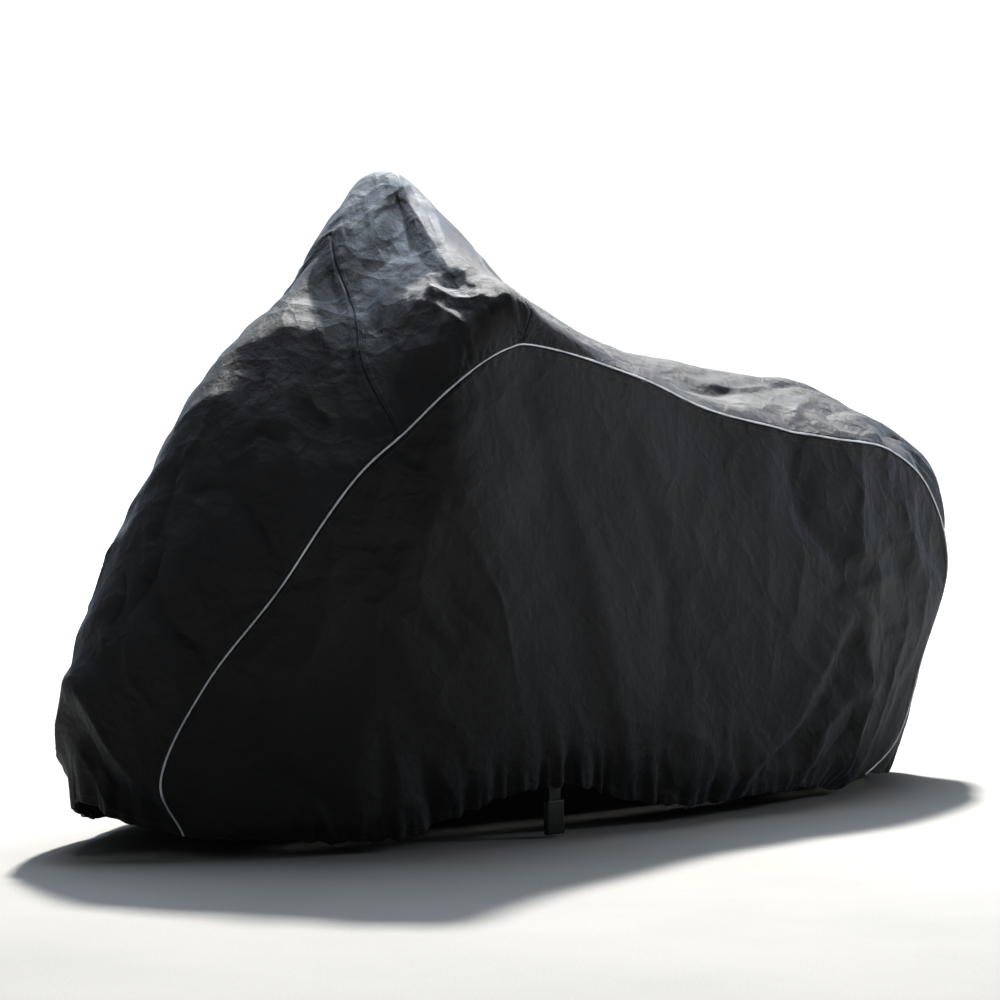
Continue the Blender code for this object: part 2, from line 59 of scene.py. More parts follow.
# The ribs, from the front hem to the rear hem. Each is half a hoop of cloth, from the middle
# of the strip (ridge) over the shoulder to the piped seam and down the flank to the hem.
# crown and flank push the cloth out between those lines.
Rib = namedtuple(
    "Rib",
    "ridge_x ridge_z crown shoulder_x shoulder_y shoulder_z "
    "seam_x seam_y seam_z flank hem_x hem_y hem_z",
)
RIBS = (
    Rib(-0.990, 0.115, 0.010, -0.955, 0.085, 0.085, -0.860, 0.160, 0.052, 0.000, -0.820, 0.185, 0.045),
    Rib(-1.000, 0.235, 0.010, -0.965, 0.085, 0.215, -0.900, 0.150, 0.165, 0.000, -0.770, 0.220, 0.044),
    Rib(-0.965, 0.400, 0.010, -0.925, 0.105, 0.375, -0.823, 0.185, 0.335, 0.010, -0.690, 0.270, 0.040),
    Rib(-0.880, 0.570, 0.010, -0.820, 0.125, 0.545, -0.697, 0.237, 0.505, 0.020, -0.595, 0.310, 0.034),
    Rib(-0.775, 0.760, 0.010, -0.695, 0.150, 0.730, -0.573, 0.290, 0.695, 0.030, -0.480, 0.340, 0.038),
    Rib(-0.650, 0.930, 0.010, -0.560, 0.200, 0.880, -0.482, 0.330, 0.790, 0.030, -0.380, 0.352, 0.065),
    Rib(-0.490, 1.080, 0.000, -0.410, 0.250, 1.030, -0.400, 0.368, 0.873, 0.030, -0.290, 0.358, 0.095),
    Rib(-0.345, 1.235, 0.025, -0.335, 0.340, 1.035, -0.330, 0.372, 0.920, 0.030, -0.220, 0.360, 0.110),
    Rib(-0.278, 1.279, 0.030, -0.285, 0.375, 1.030, -0.265, 0.360, 0.945, 0.030, -0.150, 0.362, 0.112),
    Rib(-0.175, 1.203, 0.010, -0.235, 0.385, 1.015, -0.205, 0.343, 0.951, 0.030, -0.080, 0.362, 0.108),
    Rib(0.000, 1.067, 0.000, -0.120, 0.330, 0.975, -0.080, 0.325, 0.930, 0.030, 0.030, 0.362, 0.070),
    Rib(0.259, 0.956, 0.010, 0.130, 0.200, 0.920, 0.120, 0.285, 0.882, 0.040, 0.190, 0.355, 0.046),
    Rib(0.500, 0.900, 0.010, 0.400, 0.150, 0.855, 0.400, 0.240, 0.804, 0.050, 0.340, 0.340, 0.048),
    Rib(0.800, 0.864, 0.010, 0.690, 0.140, 0.805, 0.690, 0.230, 0.750, 0.060, 0.480, 0.315, 0.052),
    Rib(1.020, 0.780, 0.020, 0.920, 0.135, 0.765, 0.880, 0.205, 0.722, 0.050, 0.570, 0.295, 0.045),
    Rib(1.198, 0.645, 0.020, 1.080, 0.120, 0.640, 1.020, 0.180, 0.640, 0.030, 0.630, 0.275, 0.034),
    Rib(1.238, 0.480, 0.010, 1.155, 0.100, 0.470, 1.092, 0.172, 0.457, 0.015, 0.660, 0.260, 0.028),
    Rib(1.160, 0.290, 0.010, 1.080, 0.105, 0.275, 0.985, 0.190, 0.265, 0.005, 0.685, 0.252, 0.023),
    Rib(1.090, 0.110, 0.010, 0.995, 0.125, 0.110, 0.905, 0.200, 0.115, 0.000, 0.705, 0.244, 0.020),
    Rib(1.040, 0.035, 0.010, 0.930, 0.150, 0.035, 0.800, 0.220, 0.045, 0.000, 0.710, 0.238, 0.016),
)
LAST_RIB = len(RIBS) - 1

# The lines along the cover that each rib crosses, numbered up from the hem.
HEM, SKIRT, FLANK, SEAM, SHOULDER, CROWN, RIDGE = range(7)
SKIRT_SHARE = 0.12  # of the way from hem to seam
FLANK_SHARE = 0.52

# The handlebars are turned a little, so the far shoulder lies further back there.
TURNED_BARS = {"rib": 6.8, "reach": 1.3, "back": 0.060, "down": 0.010}

# On the left the cloth hangs hollow between the screen and the handlebars.
SCREEN_HOLLOW = {"rib": 7.7, "reach": 1.5, "depth": 0.040}

# Along the seat the cloth bends keenly at the piping, and elsewhere it is rounded there.
SEAM_BEND = {"rib": 12.4, "reach": 3.4, "share": 0.9}

# Where the strip is cut across: the rib at the piping, the one on the ridge and how the cut
# bends between them. Each of the strip's panels lies between one cut and the next.
Cut = namedtuple("Cut", "at_seam at_ridge curve")
FRONT_HEM = Cut(0, 0, 1.0)
FRONT_SEAM = Cut(4.9, 6.5, 1.15)
HOOD_SEAM = Cut(8.75, 9.5, 1.0)
REAR_HEM = Cut(LAST_RIB, LAST_RIB, 1.0)

Fold = namedtuple("Fold", "side height width path soft")


def left(height, width, *path, soft=False):
    """A fold or crease on the left: its height (negative is a trough) and half width in
    millimetres, and the (rib, line) places that it runs through."""
    return Fold(-1, height / 1000, width / 1000, path, soft)


def right(height, width, *path, soft=False):
    return Fold(1, height / 1000, width / 1000, path, soft)


# The main folds, as in the CAD.
FOLDS = (
    # skirt of the left rear corner, where the elastic pulls the spare cloth forward and down
    left(16, 40, (13.5, 1.9), (12.8, 1.4), (12.1, 0.9), (11.8, 0.4)),
    left(-14, 38, (13.7, 1.8), (13.4, 1.4), (12.6, 0.8)),
    left(14, 36, (14.3, 1.5), (13.5, 1.2), (13.1, 0.4)),
    left(16, 42, (13.9, 2.0), (14.7, 1.5), (15.2, 0.9)),
    # below the left end of the seat
    left(-12, 40, (12.6, 2.9), (12.7, 2.5), (13.1, 2.3)),
    left(12, 45, (13.4, 2.8), (13.5, 2.4)),
    # left flank
    left(-10, 60, (2.0, 2.8), (2.4, 1.8), (2.9, 1.2)),
    left(12, 60, (3.6, 2.8), (3.2, 2.4), (2.4, 2.5)),
    left(14, 70, (8.0, 3.5), (6.0, 3.3), (5.4, 2.9), (4.6, 2.3)),
    left(-14, 50, (5.4, 3.2), (4.8, 2.7)),
    left(-12, 60, (4.2, 1.6), (4.5, 0.4)),
    left(10, 80, (9.5, 2.2), (10.4, 1.1)),
    left(10, 50, (10.9, 1.3), (11.2, 0.6)),
    # nose, where the front hem sags in a long roll
    left(16, 40, (1.6, 5.8), (0.8, 3.7), (0.6, 2.0)),
    left(-16, 40, (1.1, 5.5), (0.6, 4.1), (0.3, 3.0)),
    left(12, 50, (5.6, 5.4), (4.3, 3.9), (3.4, 3.2)),
    # hood, between the screen and the handlebars
    left(-14, 55, (7.2, 5.5), (6.8, 4.9), (7.0, 4.3)),
    right(-14, 55, (7.2, 5.4), (7.0, 4.4)),
    # hollow along the seat
    left(-12, 50, (11.6, 4.2), (12.2, 4.3), (12.8, 5.2)),
    right(-12, 50, (11.7, 4.4), (12.6, 4.6)),
    # right side
    right(16, 42, (13.5, 2.0), (12.9, 1.3), (12.3, 0.5)),
    right(-14, 40, (14.1, 1.9), (13.5, 1.2), (13.0, 0.4)),
    right(14, 40, (14.6, 1.7), (14.3, 0.8)),
    right(14, 70, (8.2, 3.4), (6.6, 2.7), (5.6, 2.0)),
    right(-12, 60, (3.4, 2.6), (3.9, 1.5), (4.4, 0.5)),
    right(12, 60, (2.2, 2.6), (2.8, 1.4)),
    right(10, 80, (10.0, 2.4), (9.4, 1.0)),
    right(14, 40, (1.5, 5.6), (0.9, 3.8), (0.7, 2.2)),
)
FOLD_SAMPLES = 8  # points that stand for each stretch of a fold's path
FOLD_REACH = 3  # half widths from a fold's path at which it has died away

# Slack cloth never hangs quite even: long low swells across the whole cover.
Swell = namedtuple("Swell", "height wave_x wave_y wave_z phase")
SWELLS = (
    Swell(0.0040, 9.0, 5.0, 4.0, 0.6),
    Swell(0.0030, 4.0, -7.0, 11.0, 2.1),
    Swell(0.0020, 17.0, 6.0, -9.0, 4.0),
)


# ---- the cloth's lay: creases, crumples and gathers ----

# Creases and soft rolls in the hung cloth, finer than the main folds. They have a keen edge,
# and the soft ones are rounded.
CREASES = (
    # skirt of the left rear corner
    left(6, 12, (13.5, 1.9), (13.2, 1.7), (12.8, 1.4), (12.6, 1.2), (12.1, 0.9), (11.8, 0.4)),
    left(-5, 12, (13.7, 1.8), (13.6, 1.5), (13.0, 1.2), (12.6, 0.8), (12.4, 0.3)),
    left(6, 12, (14.3, 1.5), (13.5, 1.2), (13.1, 0.4)),
    left(-8, 14, (14.4, 1.4), (14.5, 1.2), (13.6, 0.2)),
    left(7, 12, (13.8, 1.9), (14.7, 1.5), (14.9, 1.2), (16.0, 0.5)),
    left(-6, 12, (14.6, 1.8), (15.6, 1.2), (16.6, 0.8)),
    left(5, 10, (15.3, 2.2), (15.9, 1.6), (17.0, 1.0)),
    left(-6, 20, (12.9, 1.2), (12.3, 0.7), (12.1, 0.2), soft=True),
    # below the left end of the seat
    left(-5, 12, (12.5, 2.9), (12.6, 2.7), (12.7, 2.5), (13.1, 2.3)),
    left(5, 12, (13.4, 3.0), (13.4, 2.8), (13.5, 2.4), (13.7, 2.2)),
    left(-5, 12, (12.7, 2.2), (13.2, 2.1), (13.7, 2.3)),
    left(5, 10, (13.2, 2.2), (13.6, 2.1), (14.1, 2.2), (14.5, 2.3)),
    left(4, 10, (12.3, 2.2), (12.8, 2.3), (13.6, 2.3), (14.6, 2.5), (15.6, 2.7)),
    left(-4, 12, (12.3, 2.0), (13.3, 2.1), (14.0, 2.05), (15.0, 2.0)),
    left(4, 8, (14.2, 2.9), (14.6, 2.6), (15.2, 2.5)),
    left(-4, 8, (14.6, 2.9), (15.0, 2.7), (15.9, 2.6)),
    left(4, 8, (15.2, 2.9), (15.7, 2.4), (16.4, 2.2)),
    left(3, 10, (12.4, 3.0), (12.3, 2.6), (12.2, 2.0), (12.1, 1.4)),
    # middle of the left flank: plain, with a few long soft hangs
    left(4, 30, (9.2, 2.9), (9.6, 2.0), (9.9, 1.1), (9.9, 0.3), soft=True),
    left(-4, 30, (10.6, 2.8), (10.9, 2.0), (10.7, 1.3), soft=True),
    left(5, 12, (10.5, 1.2), (11.2, 1.1), (11.3, 1.0), (11.3, 0.5)),
    left(-4, 12, (10.4, 1.0), (10.6, 0.6), (10.7, 0.2)),
    left(4, 12, (11.6, 1.5), (11.5, 1.0), (11.8, 0.4)),
    # front of the left flank
    left(-6, 12, (2.0, 2.9), (2.4, 1.8), (2.7, 1.3), (3.2, 0.7)),
    left(5, 14, (3.1, 2.9), (2.9, 2.7), (2.5, 2.75), (2.2, 2.8)),
    left(5, 14, (3.6, 2.9), (3.2, 2.5), (3.0, 2.4), (2.6, 2.3)),
    left(-5, 10, (3.5, 2.8), (4.2, 2.5), (4.7, 2.5)),
    left(-7, 14, (4.9, 3.0), (5.3, 2.85), (5.0, 2.8), (4.7, 2.9)),
    left(5, 12, (4.4, 2.9), (5.4, 2.8), (5.9, 2.7)),
    left(-6, 16, (4.3, 1.3), (4.5, 0.8), (4.6, 0.3)),
    left(5, 14, (4.6, 1.2), (4.9, 0.7), (5.0, 0.2)),
    left(-6, 22, (3.7, 1.7), (3.6, 1.0), (3.5, 0.2), soft=True),
    left(4, 10, (5.6, 2.4), (6.4, 1.9), (6.8, 1.2)),
    left(-4, 10, (5.0, 2.2), (5.8, 1.8), (6.3, 1.6)),
    left(4, 10, (1.0, 2.6), (1.4, 1.6), (2.0, 0.7)),
    # nose and front panel
    left(8, 14, (1.6, 5.8), (1.2, 4.7), (0.8, 3.6), (0.6, 3.1)),
    left(-9, 16, (1.1, 5.5), (0.8, 4.7), (0.6, 4.1), (0.3, 3.3)),
    left(7, 12, (0.9, 5.9), (0.5, 5.0), (0.2, 4.2), (0.0, 3.6)),
    left(-6, 14, (1.0, 2.9), (1.3, 1.7), (1.9, 0.9)),
    left(7, 14, (5.6, 5.4), (4.9, 4.5), (4.3, 3.8), (3.7, 3.3), (3.2, 3.05)),
    left(-6, 12, (3.6, 5.1), (3.7, 4.4), (3.8, 3.8)),
    left(5, 10, (3.9, 4.5), (4.1, 4.2), (4.3, 4.1)),
    left(-5, 10, (4.3, 4.4), (4.3, 4.1), (4.25, 3.8)),
    left(5, 10, (4.2, 4.1), (3.9, 3.8), (3.7, 3.5)),
    left(-7, 12, (3.7, 3.9), (3.4, 3.5), (3.1, 3.05)),
    left(-7, 14, (2.7, 4.3), (2.4, 3.7), (2.2, 3.2), (2.0, 3.0)),
    left(6, 12, (2.8, 3.5), (2.5, 3.3), (2.3, 3.2), (2.0, 3.05)),
    left(6, 12, (2.2, 4.6), (1.8, 4.0), (1.5, 3.3)),
    left(-5, 12, (3.2, 4.9), (2.8, 4.7), (2.3, 4.9)),
    left(5, 10, (4.6, 5.6), (4.1, 5.4), (3.8, 5.6)),
    left(-5, 10, (4.0, 5.7), (3.5, 5.3), (3.1, 5.2)),
    left(6, 12, (3.3, 5.6), (2.9, 5.1), (2.9, 4.8)),
    left(-6, 10, (2.8, 5.6), (2.5, 5.2), (2.2, 5.3)),
    left(6, 12, (2.3, 5.7), (2.0, 5.2), (2.1, 4.7)),
    left(4, 10, (5.2, 4.6), (4.8, 4.1), (4.6, 3.5)),
    left(-5, 10, (5.0, 3.9), (4.6, 3.5), (4.2, 3.2)),
    left(-4, 10, (5.3, 5.3), (4.8, 5.0), (4.3, 5.0)),
    # hood, from the peak down to the left grip
    left(-7, 13, (7.5, 5.6), (7.2, 5.3), (7.0, 5.1), (6.8, 5.0)),
    left(-6, 13, (7.6, 4.6), (7.2, 4.5), (7.0, 4.4), (6.6, 4.4)),
    left(-6, 13, (6.3, 4.8), (5.9, 4.7), (5.7, 4.6)),
    left(-6, 12, (7.0, 3.8), (6.6, 3.8), (6.3, 3.75)),
    left(5, 8, (6.9, 5.7), (6.75, 5.5), (6.6, 5.4)),
    left(6, 9, (6.0, 4.0), (6.4, 3.7), (6.8, 3.4)),
    left(5, 9, (6.6, 4.4), (6.4, 4.1), (6.35, 3.9)),
    left(6, 12, (8.0, 5.9), (7.7, 5.5), (7.6, 4.9)),
    left(-5, 10, (8.2, 5.8), (8.1, 5.3), (7.9, 4.8)),
    left(5, 12, (7.6, 4.9), (7.3, 4.6), (6.9, 4.6), (6.4, 4.6)),
    left(6, 12, (7.9, 4.3), (7.2, 4.05), (6.7, 4.05), (6.2, 4.2)),
    left(6, 24, (8.9, 4.6), (8.2, 4.1), (7.4, 3.9), soft=True),
    left(-5, 10, (8.5, 4.4), (8.6, 3.9), (8.7, 3.4)),
    left(4, 8, (7.3, 5.8), (7.0, 5.6), (6.8, 5.7)),
    left(-5, 8, (6.9, 5.3), (6.6, 5.1), (6.3, 5.1)),
    left(5, 8, (6.9, 5.0), (6.7, 4.9), (6.5, 4.8)),
    left(-4, 8, (6.2, 5.2), (6.0, 5.0), (5.9, 5.1)),
    # over the left grip, under the corner of the hood
    left(7, 12, (5.8, 5.4), (5.4, 4.8), (5.3, 4.4), (5.4, 4.0)),
    left(-6, 12, (5.9, 4.5), (5.6, 4.1), (5.6, 3.7)),
    left(5, 12, (6.4, 3.6), (6.1, 3.5), (5.8, 3.2)),
    # seat
    left(-6, 18, (11.8, 4.1), (12.2, 4.2), (12.6, 4.9)),
    left(6, 12, (12.0, 4.5), (12.4, 4.8), (12.7, 5.3)),
    left(-6, 10, (12.7, 5.3), (12.9, 5.5), (13.3, 5.6)),
    left(6, 12, (12.6, 3.2), (12.8, 3.6), (12.9, 3.9), (13.1, 4.6)),
    left(-5, 12, (13.2, 3.4), (13.3, 4.0), (13.6, 4.7)),
    left(4, 8, (13.0, 3.2), (13.3, 3.15), (13.8, 3.3)),
    left(4, 8, (10.2, 3.6), (11.0, 3.5), (12.0, 3.4)),
    left(-4, 8, (10.8, 3.9), (11.6, 3.7), (12.4, 3.6)),
    left(4, 9, (9.9, 4.6), (10.8, 4.2), (11.8, 3.8)),
    left(-5, 10, (13.9, 3.2), (14.1, 3.9), (14.3, 4.6), (14.8, 5.0)),
    left(5, 10, (14.4, 3.3), (14.6, 4.0), (15.2, 4.6)),
    left(4, 10, (14.9, 3.3), (15.3, 3.9), (15.9, 4.3)),
    # right side
    right(6, 12, (13.4, 2.0), (12.9, 1.4), (12.4, 0.6)),
    right(-6, 12, (13.9, 1.9), (13.4, 1.3), (12.9, 0.5)),
    right(6, 12, (14.5, 1.8), (14.3, 1.0), (14.0, 0.3)),
    right(-5, 12, (12.8, 2.9), (13.1, 2.4), (13.9, 2.1)),
    right(5, 12, (3.4, 2.8), (3.9, 1.8), (4.4, 0.7)),
    right(-6, 12, (2.4, 2.8), (3.0, 1.8), (3.6, 1.0)),
    right(5, 12, (5.2, 2.8), (6.0, 2.2), (6.4, 1.2)),
    right(-5, 12, (6.4, 2.9), (6.9, 2.3), (7.3, 1.3)),
    right(5, 30, (9.4, 2.8), (9.7, 1.8), (9.9, 0.6), soft=True),
    right(6, 12, (5.5, 5.2), (4.6, 4.4), (3.8, 3.4)),
    right(-6, 12, (4.4, 5.0), (3.8, 4.4), (3.3, 3.4)),
    right(6, 12, (3.2, 5.4), (2.6, 4.6), (2.2, 3.4)),
    right(-7, 12, (7.4, 5.5), (7.0, 5.0), (6.7, 4.8)),
    right(-6, 12, (7.4, 4.5), (6.9, 4.3), (6.5, 4.3)),
    right(6, 12, (7.9, 4.9), (7.2, 4.7), (6.6, 4.6)),
    right(5, 12, (12.2, 5.2), (12.7, 4.4), (13.0, 3.6)),
    right(-6, 12, (11.7, 4.6), (12.2, 4.2), (12.8, 4.2)),
    right(7, 14, (1.4, 5.6), (0.9, 4.2), (0.7, 3.2)),
)
CREASE_DEPTH = 1.3  # how deep the creases are pressed, as a share of the table's heights
CREASE_SAMPLES = 7
CREASE_REACH = 4

# How crumpled the cloth is round a place on it: it is nearly smooth where it hangs free or is
# stretched along the seat, and most crumpled at the hood, the nose and the tail.
Slack = namedtuple("Slack", "side rib line reach_rib reach_line amount")
BASE_SLACK = 0.55
SLACK_LIMITS = (0.1, 1.2)
SIDE_BLEND = 1.5  # lines from the ridge over which one side's slack gives way to the other's
SLACKS = (
    Slack(-1, 6.8, 4.6, 1.6, 1.5, 0.75),
    Slack(1, 6.8, 4.6, 1.6, 1.5, 0.75),
    Slack(-1, 3.2, 4.6, 2.4, 1.6, 0.45),
    Slack(1, 3.2, 4.6, 2.4, 1.6, 0.45),
    Slack(-1, 14.8, 2.3, 2.2, 1.0, 0.55),
    Slack(1, 14.8, 2.3, 2.2, 1.0, 0.45),
    Slack(-1, 13.6, 4.2, 1.6, 1.2, 0.40),
    Slack(1, 13.6, 4.2, 1.6, 1.2, 0.40),
    Slack(-1, 9.0, 1.7, 2.2, 1.3, -0.28),
    Slack(1, 9.2, 1.7, 2.2, 1.3, -0.15),
    Slack(-1, 4.6, 2.4, 1.4, 0.9, 0.25),
    Slack(-1, 9.8, 4.8, 1.3, 1.4, -0.22),
    Slack(-1, 12.2, 0.7, 2.2, 0.8, 0.30),
)

# Facets that folding and unfolding has pressed into the coated cloth, from coarse to fine:
# size of a facet along and up the cloth, and how far its corners stand in or out.
Facets = namedtuple("Facets", "along up height")
FACETS = (
    Facets(0.210, 0.260, 0.0105),
    Facets(0.085, 0.110, 0.0060),
    Facets(0.036, 0.046, 0.0026),
)
FACET_CORNERS = 48  # along and up, before they come round again
FACET_BEND = 0.42  # how far the facets' edges wander, as a share of a facet

# Gathers of the elastic hem: wave length along the hem, height, and how far up they reach.
Gather = namedtuple("Gather", "wave height reach")
GATHERS = (
    Gather(0.085, 0.0050, 0.110),
    Gather(0.047, 0.0042, 0.065),
    Gather(0.028, 0.0030, 0.036),
)


# ---- places on the cover ----


def along(name, rib):
    """A column of the rib table at any rib number, on a smooth curve through its rows."""
    values = np.array([getattr(row, name) for row in RIBS])
    first = np.clip(np.floor(rib).astype(int), 0, LAST_RIB - 1)
    part = rib - first
    before, start, end, after = (values[np.clip(first + k, 0, LAST_RIB)] for k in (-1, 0, 1, 2))
    slope_in = (end - before) / 2
    slope_out = (after - start) / 2
    return (
        (2 * part**3 - 3 * part**2 + 1) * start
        + (part**3 - 2 * part**2 + part) * slope_in
        + (3 * part**2 - 2 * part**3) * end
        + (part**3 - part**2) * slope_out
    )


def length(vectors):
    return np.linalg.norm(vectors, axis=-1, keepdims=True)


def bell(away, reach):
    """1 at the middle of something, dying away round it."""
    return np.exp(-((away / reach) ** 2))


def hoop(side, rib):
    """The points where the cover's lines cross a hoop of cloth, from hem to ridge, with one
    more before the hem and two more on the other side of the ridge, to shape its ends."""
    side = side[:, None]
    zero = np.zeros_like(rib)

    def place(line, y):
        x, z = along(line + "_x", rib) + STEM_X, along(line + "_z", rib) - DROP
        return np.stack([x, y, z], axis=1)

    outward = np.array([0.0, 1.0, 0.0]) * side
    hem = place("hem", side[:, 0] * along("hem_y", rib))
    seam = place("seam", side[:, 0] * along("seam_y", rib))
    shoulder = place("shoulder", side[:, 0] * along("shoulder_y", rib))
    ridge = place("ridge", zero)

    turned = bell(rib - TURNED_BARS["rib"], TURNED_BARS["reach"]) * (side[:, 0] > 0)
    shoulder = shoulder + turned[:, None] * np.array([TURNED_BARS["back"], 0, -TURNED_BARS["down"]])

    drop = seam - hem
    tuck = ELASTIC_TUCK * np.minimum(1.0, length(drop) / TUCKED_SPAN)
    skirt = hem + drop * SKIRT_SHARE + outward * tuck
    flank = hem + drop * FLANK_SHARE + outward * along("flank", rib)[:, None]

    chord = ridge - shoulder
    along_chord = chord / length(chord)
    off_chord = outward - along_chord * (outward * along_chord).sum(axis=1, keepdims=True)
    hollow = SCREEN_HOLLOW["depth"] * bell(rib - SCREEN_HOLLOW["rib"], SCREEN_HOLLOW["reach"])
    rise = along("crown", rib) - hollow * (side[:, 0] < 0)
    push = off_chord / length(off_chord) * rise[:, None]
    crown = (shoulder + ridge) / 2 + push

    mirror = np.array([1.0, -1.0, 1.0])
    lines = [2 * hem - skirt, hem, skirt, flank, seam, shoulder, crown, ridge]
    return np.stack(lines + [crown * mirror, shoulder * mirror], axis=1)


def smooth_cover(side, rib, line):
    """Places on the cover without its folds. side, rib and line are arrays of one length."""
    points = hoop(side, rib)
    first = np.clip(np.floor(line).astype(int), HEM, RIDGE - 1)
    part = (line - first)[:, None]
    rows = np.arange(len(rib))
    p0, p1, p2, p3 = (points[rows, first + k] for k in range(4))
    keen = SEAM_BEND["share"] * np.exp(-(((rib - SEAM_BEND["rib"]) / SEAM_BEND["reach"]) ** 4))[:, None]
    p0 = np.where(first[:, None] == SEAM, p0 + keen * (2 * p1 - p2 - p0), p0)
    p3 = np.where(first[:, None] == FLANK, p3 + keen * (2 * p2 - p1 - p3), p3)
    # centripetal Catmull-Rom curve between p1 and p2
    t1 = np.sqrt(length(p1 - p0))
    t2 = t1 + np.sqrt(length(p2 - p1))
    t3 = t2 + np.sqrt(length(p3 - p2))
    t = t1 + part * (t2 - t1)
    a1 = p0 + (p1 - p0) * t / t1
    a2 = p1 + (p2 - p1) * (t - t1) / (t2 - t1)
    a3 = p2 + (p3 - p2) * (t - t2) / (t3 - t2)
    b1 = a1 + (a2 - a1) * t / t2
    b2 = a2 + (a3 - a2) * (t - t1) / (t3 - t1)
    return b1 + (b2 - b1) * (t - t1) / (t2 - t1)


def outward_normals(side, rib, line):
    """Unit normals of the smooth cover, from small steps along and across it."""
    step = 0.02
    ahead = np.minimum(rib + step, LAST_RIB)
    behind = np.maximum(rib - step, 0)
    above = np.minimum(line + step, RIDGE)
    below = np.maximum(line - step, HEM)
    lengthwise = smooth_cover(side, ahead, line) - smooth_cover(side, behind, line)
    upward = smooth_cover(side, rib, above) - smooth_cover(side, rib, below)
    normals = np.cross(lengthwise, upward) * -side[:, None]
    return normals / length(normals)


def path_on_cover(fold, samples):
    """Points that follow a fold's path of (rib, line) places over the smooth cover."""
    path = np.array(fold.path)
    stretches = len(path) - 1
    at = np.linspace(0, stretches, stretches * samples + 1)
    rib = np.interp(at, range(stretches + 1), path[:, 0])
    line = np.interp(at, range(stretches + 1), path[:, 1])
    return smooth_cover(np.full(len(at), float(fold.side)), rib, line)


def from_path(points, path):
    """Each point's distance from a path, and the share of the path passed there."""
    distance = np.full(len(points), np.inf)
    share = np.zeros(len(points))
    for k, (start, end) in enumerate(zip(path[:-1], path[1:], strict=True)):
        way = end - start
        part = np.clip((points - start) @ way / (way @ way), 0, 1)
        gap = length(points - start - part[:, None] * way)[:, 0]
        nearer = gap < distance
        distance[nearer] = gap[nearer]
        share[nearer] = (k + part[nearer]) / (len(path) - 1)
    return distance, share


def near(points, path, reach):
    """Which points lie within the box round a path, grown by a reach."""
    low, high = path.min(axis=0) - reach, path.max(axis=0) + reach
    return np.flatnonzero(((points > low) & (points < high)).all(axis=1))


def fold_heights(points):
    """How far the main folds and the swells push each point of the smooth cover out."""
    heights = np.zeros(len(points))
    for fold in FOLDS:
        middle = path_on_cover(fold, FOLD_SAMPLES)
        chosen = near(points, middle, fold.width * FOLD_REACH)
        distance, _ = from_path(points[chosen], middle)
        heights[chosen] += fold.height * bell(distance, fold.width)
    for swell in SWELLS:
        waves = np.array([swell.wave_x, swell.wave_y, swell.wave_z])
        heights += swell.height * np.sin(points @ waves + swell.phase)
    return heights


def crease_heights(points):
    """The same for the creases, which fade out towards their ends."""
    heights = np.zeros(len(points))
    for crease in CREASES:
        middle = path_on_cover(crease, CREASE_SAMPLES)
        chosen = near(points, middle, crease.width * CREASE_REACH)
        distance, share = from_path(points[chosen], middle)
        profile = bell(distance, crease.width) if crease.soft else np.exp(-distance / crease.width)
        heights[chosen] += CREASE_DEPTH * crease.height * profile * np.sin(math.pi * share) ** 0.5
    return heights


def slack(across, rib):
    """How crumpled the cloth is. across is the line number, counted from the ridge and
    negative on the left."""
    line = RIDGE - np.abs(across)
    lean = np.clip(across / SIDE_BLEND, -1, 1)
    amount = np.full(rib.shape, BASE_SLACK)
    for spot in SLACKS:
        own_side = (1 + spot.side * lean) / 2
        away = ((rib - spot.rib) / spot.reach_rib) ** 2 + ((line - spot.line) / spot.reach_line) ** 2
        amount += own_side * spot.amount * np.exp(-away)
    return np.clip(amount, *SLACK_LIMITS)


def facet_heights(u, v, facets, seed):
    """Flat facets with keen edges between corners that stand in or out by chance."""
    chance = np.random.default_rng(seed)
    count = FACET_CORNERS
    corners = chance.uniform(-1, 1, (count, count))
    turned = chance.uniform(0, 1, (count, count)) > 0.5
    x, y = u / facets.along, v / facets.up
    bent_x = x + FACET_BEND * np.sin(1.3 * y + seed) + 0.2 * np.sin(2.9 * y)
    bent_y = y + FACET_BEND * np.sin(1.1 * x + 2 * seed)
    i, j = np.floor(bent_x).astype(int), np.floor(bent_y).astype(int)
    f, g = bent_x - i, bent_y - j
    flip = turned[i % count, j % count]
    near_i, far_i = np.where(flip, i + 1, i) % count, np.where(flip, i, i + 1) % count
    f = np.where(flip, 1 - f, f)
    this_j, next_j = j % count, (j + 1) % count
    a, b = corners[near_i, this_j], corners[far_i, this_j]
    c, d = corners[near_i, next_j], corners[far_i, next_j]
    low = a + f * (b - a) + g * (c - a)
    high = d + (1 - f) * (c - d) + (1 - g) * (b - d)
    return facets.height * np.where(f + g < 1, low, high)


def ripple(at, wave, seed):
    """A wave that never quite repeats, from -1 to 1."""
    turn = 2 * math.pi / wave
    return np.sin(turn * at + 1.3 * np.sin(turn * at / 2.7 + seed) + seed * 1.7)


def arc_lengths(points, axis):
    """How far each point of a grid lies along its row, in metres."""
    steps = length(np.diff(points, axis=axis))[..., 0]
    start = np.zeros_like(np.take(steps, [0], axis=axis))
    return np.concatenate([start, np.cumsum(steps, axis=axis)], axis=axis)


def covers(side, rib, line):
    """Places on the outer face of the cover with its folds and creases, and its normals."""
    side, rib, line = (np.asarray(a, float) for a in np.broadcast_arrays(side, rib, line))
    shape = rib.shape
    side, rib, line = side.ravel(), rib.ravel(), line.ravel()
    points = smooth_cover(side, rib, line)
    normals = outward_normals(side, rib, line)
    heights = fold_heights(points) + crease_heights(points)
    points = points + normals * heights[:, None]
    return points.reshape(*shape, 3), normals.reshape(*shape, 3)


# ---- sheets ----

SIDES = (("left", -1.0), ("right", 1.0))

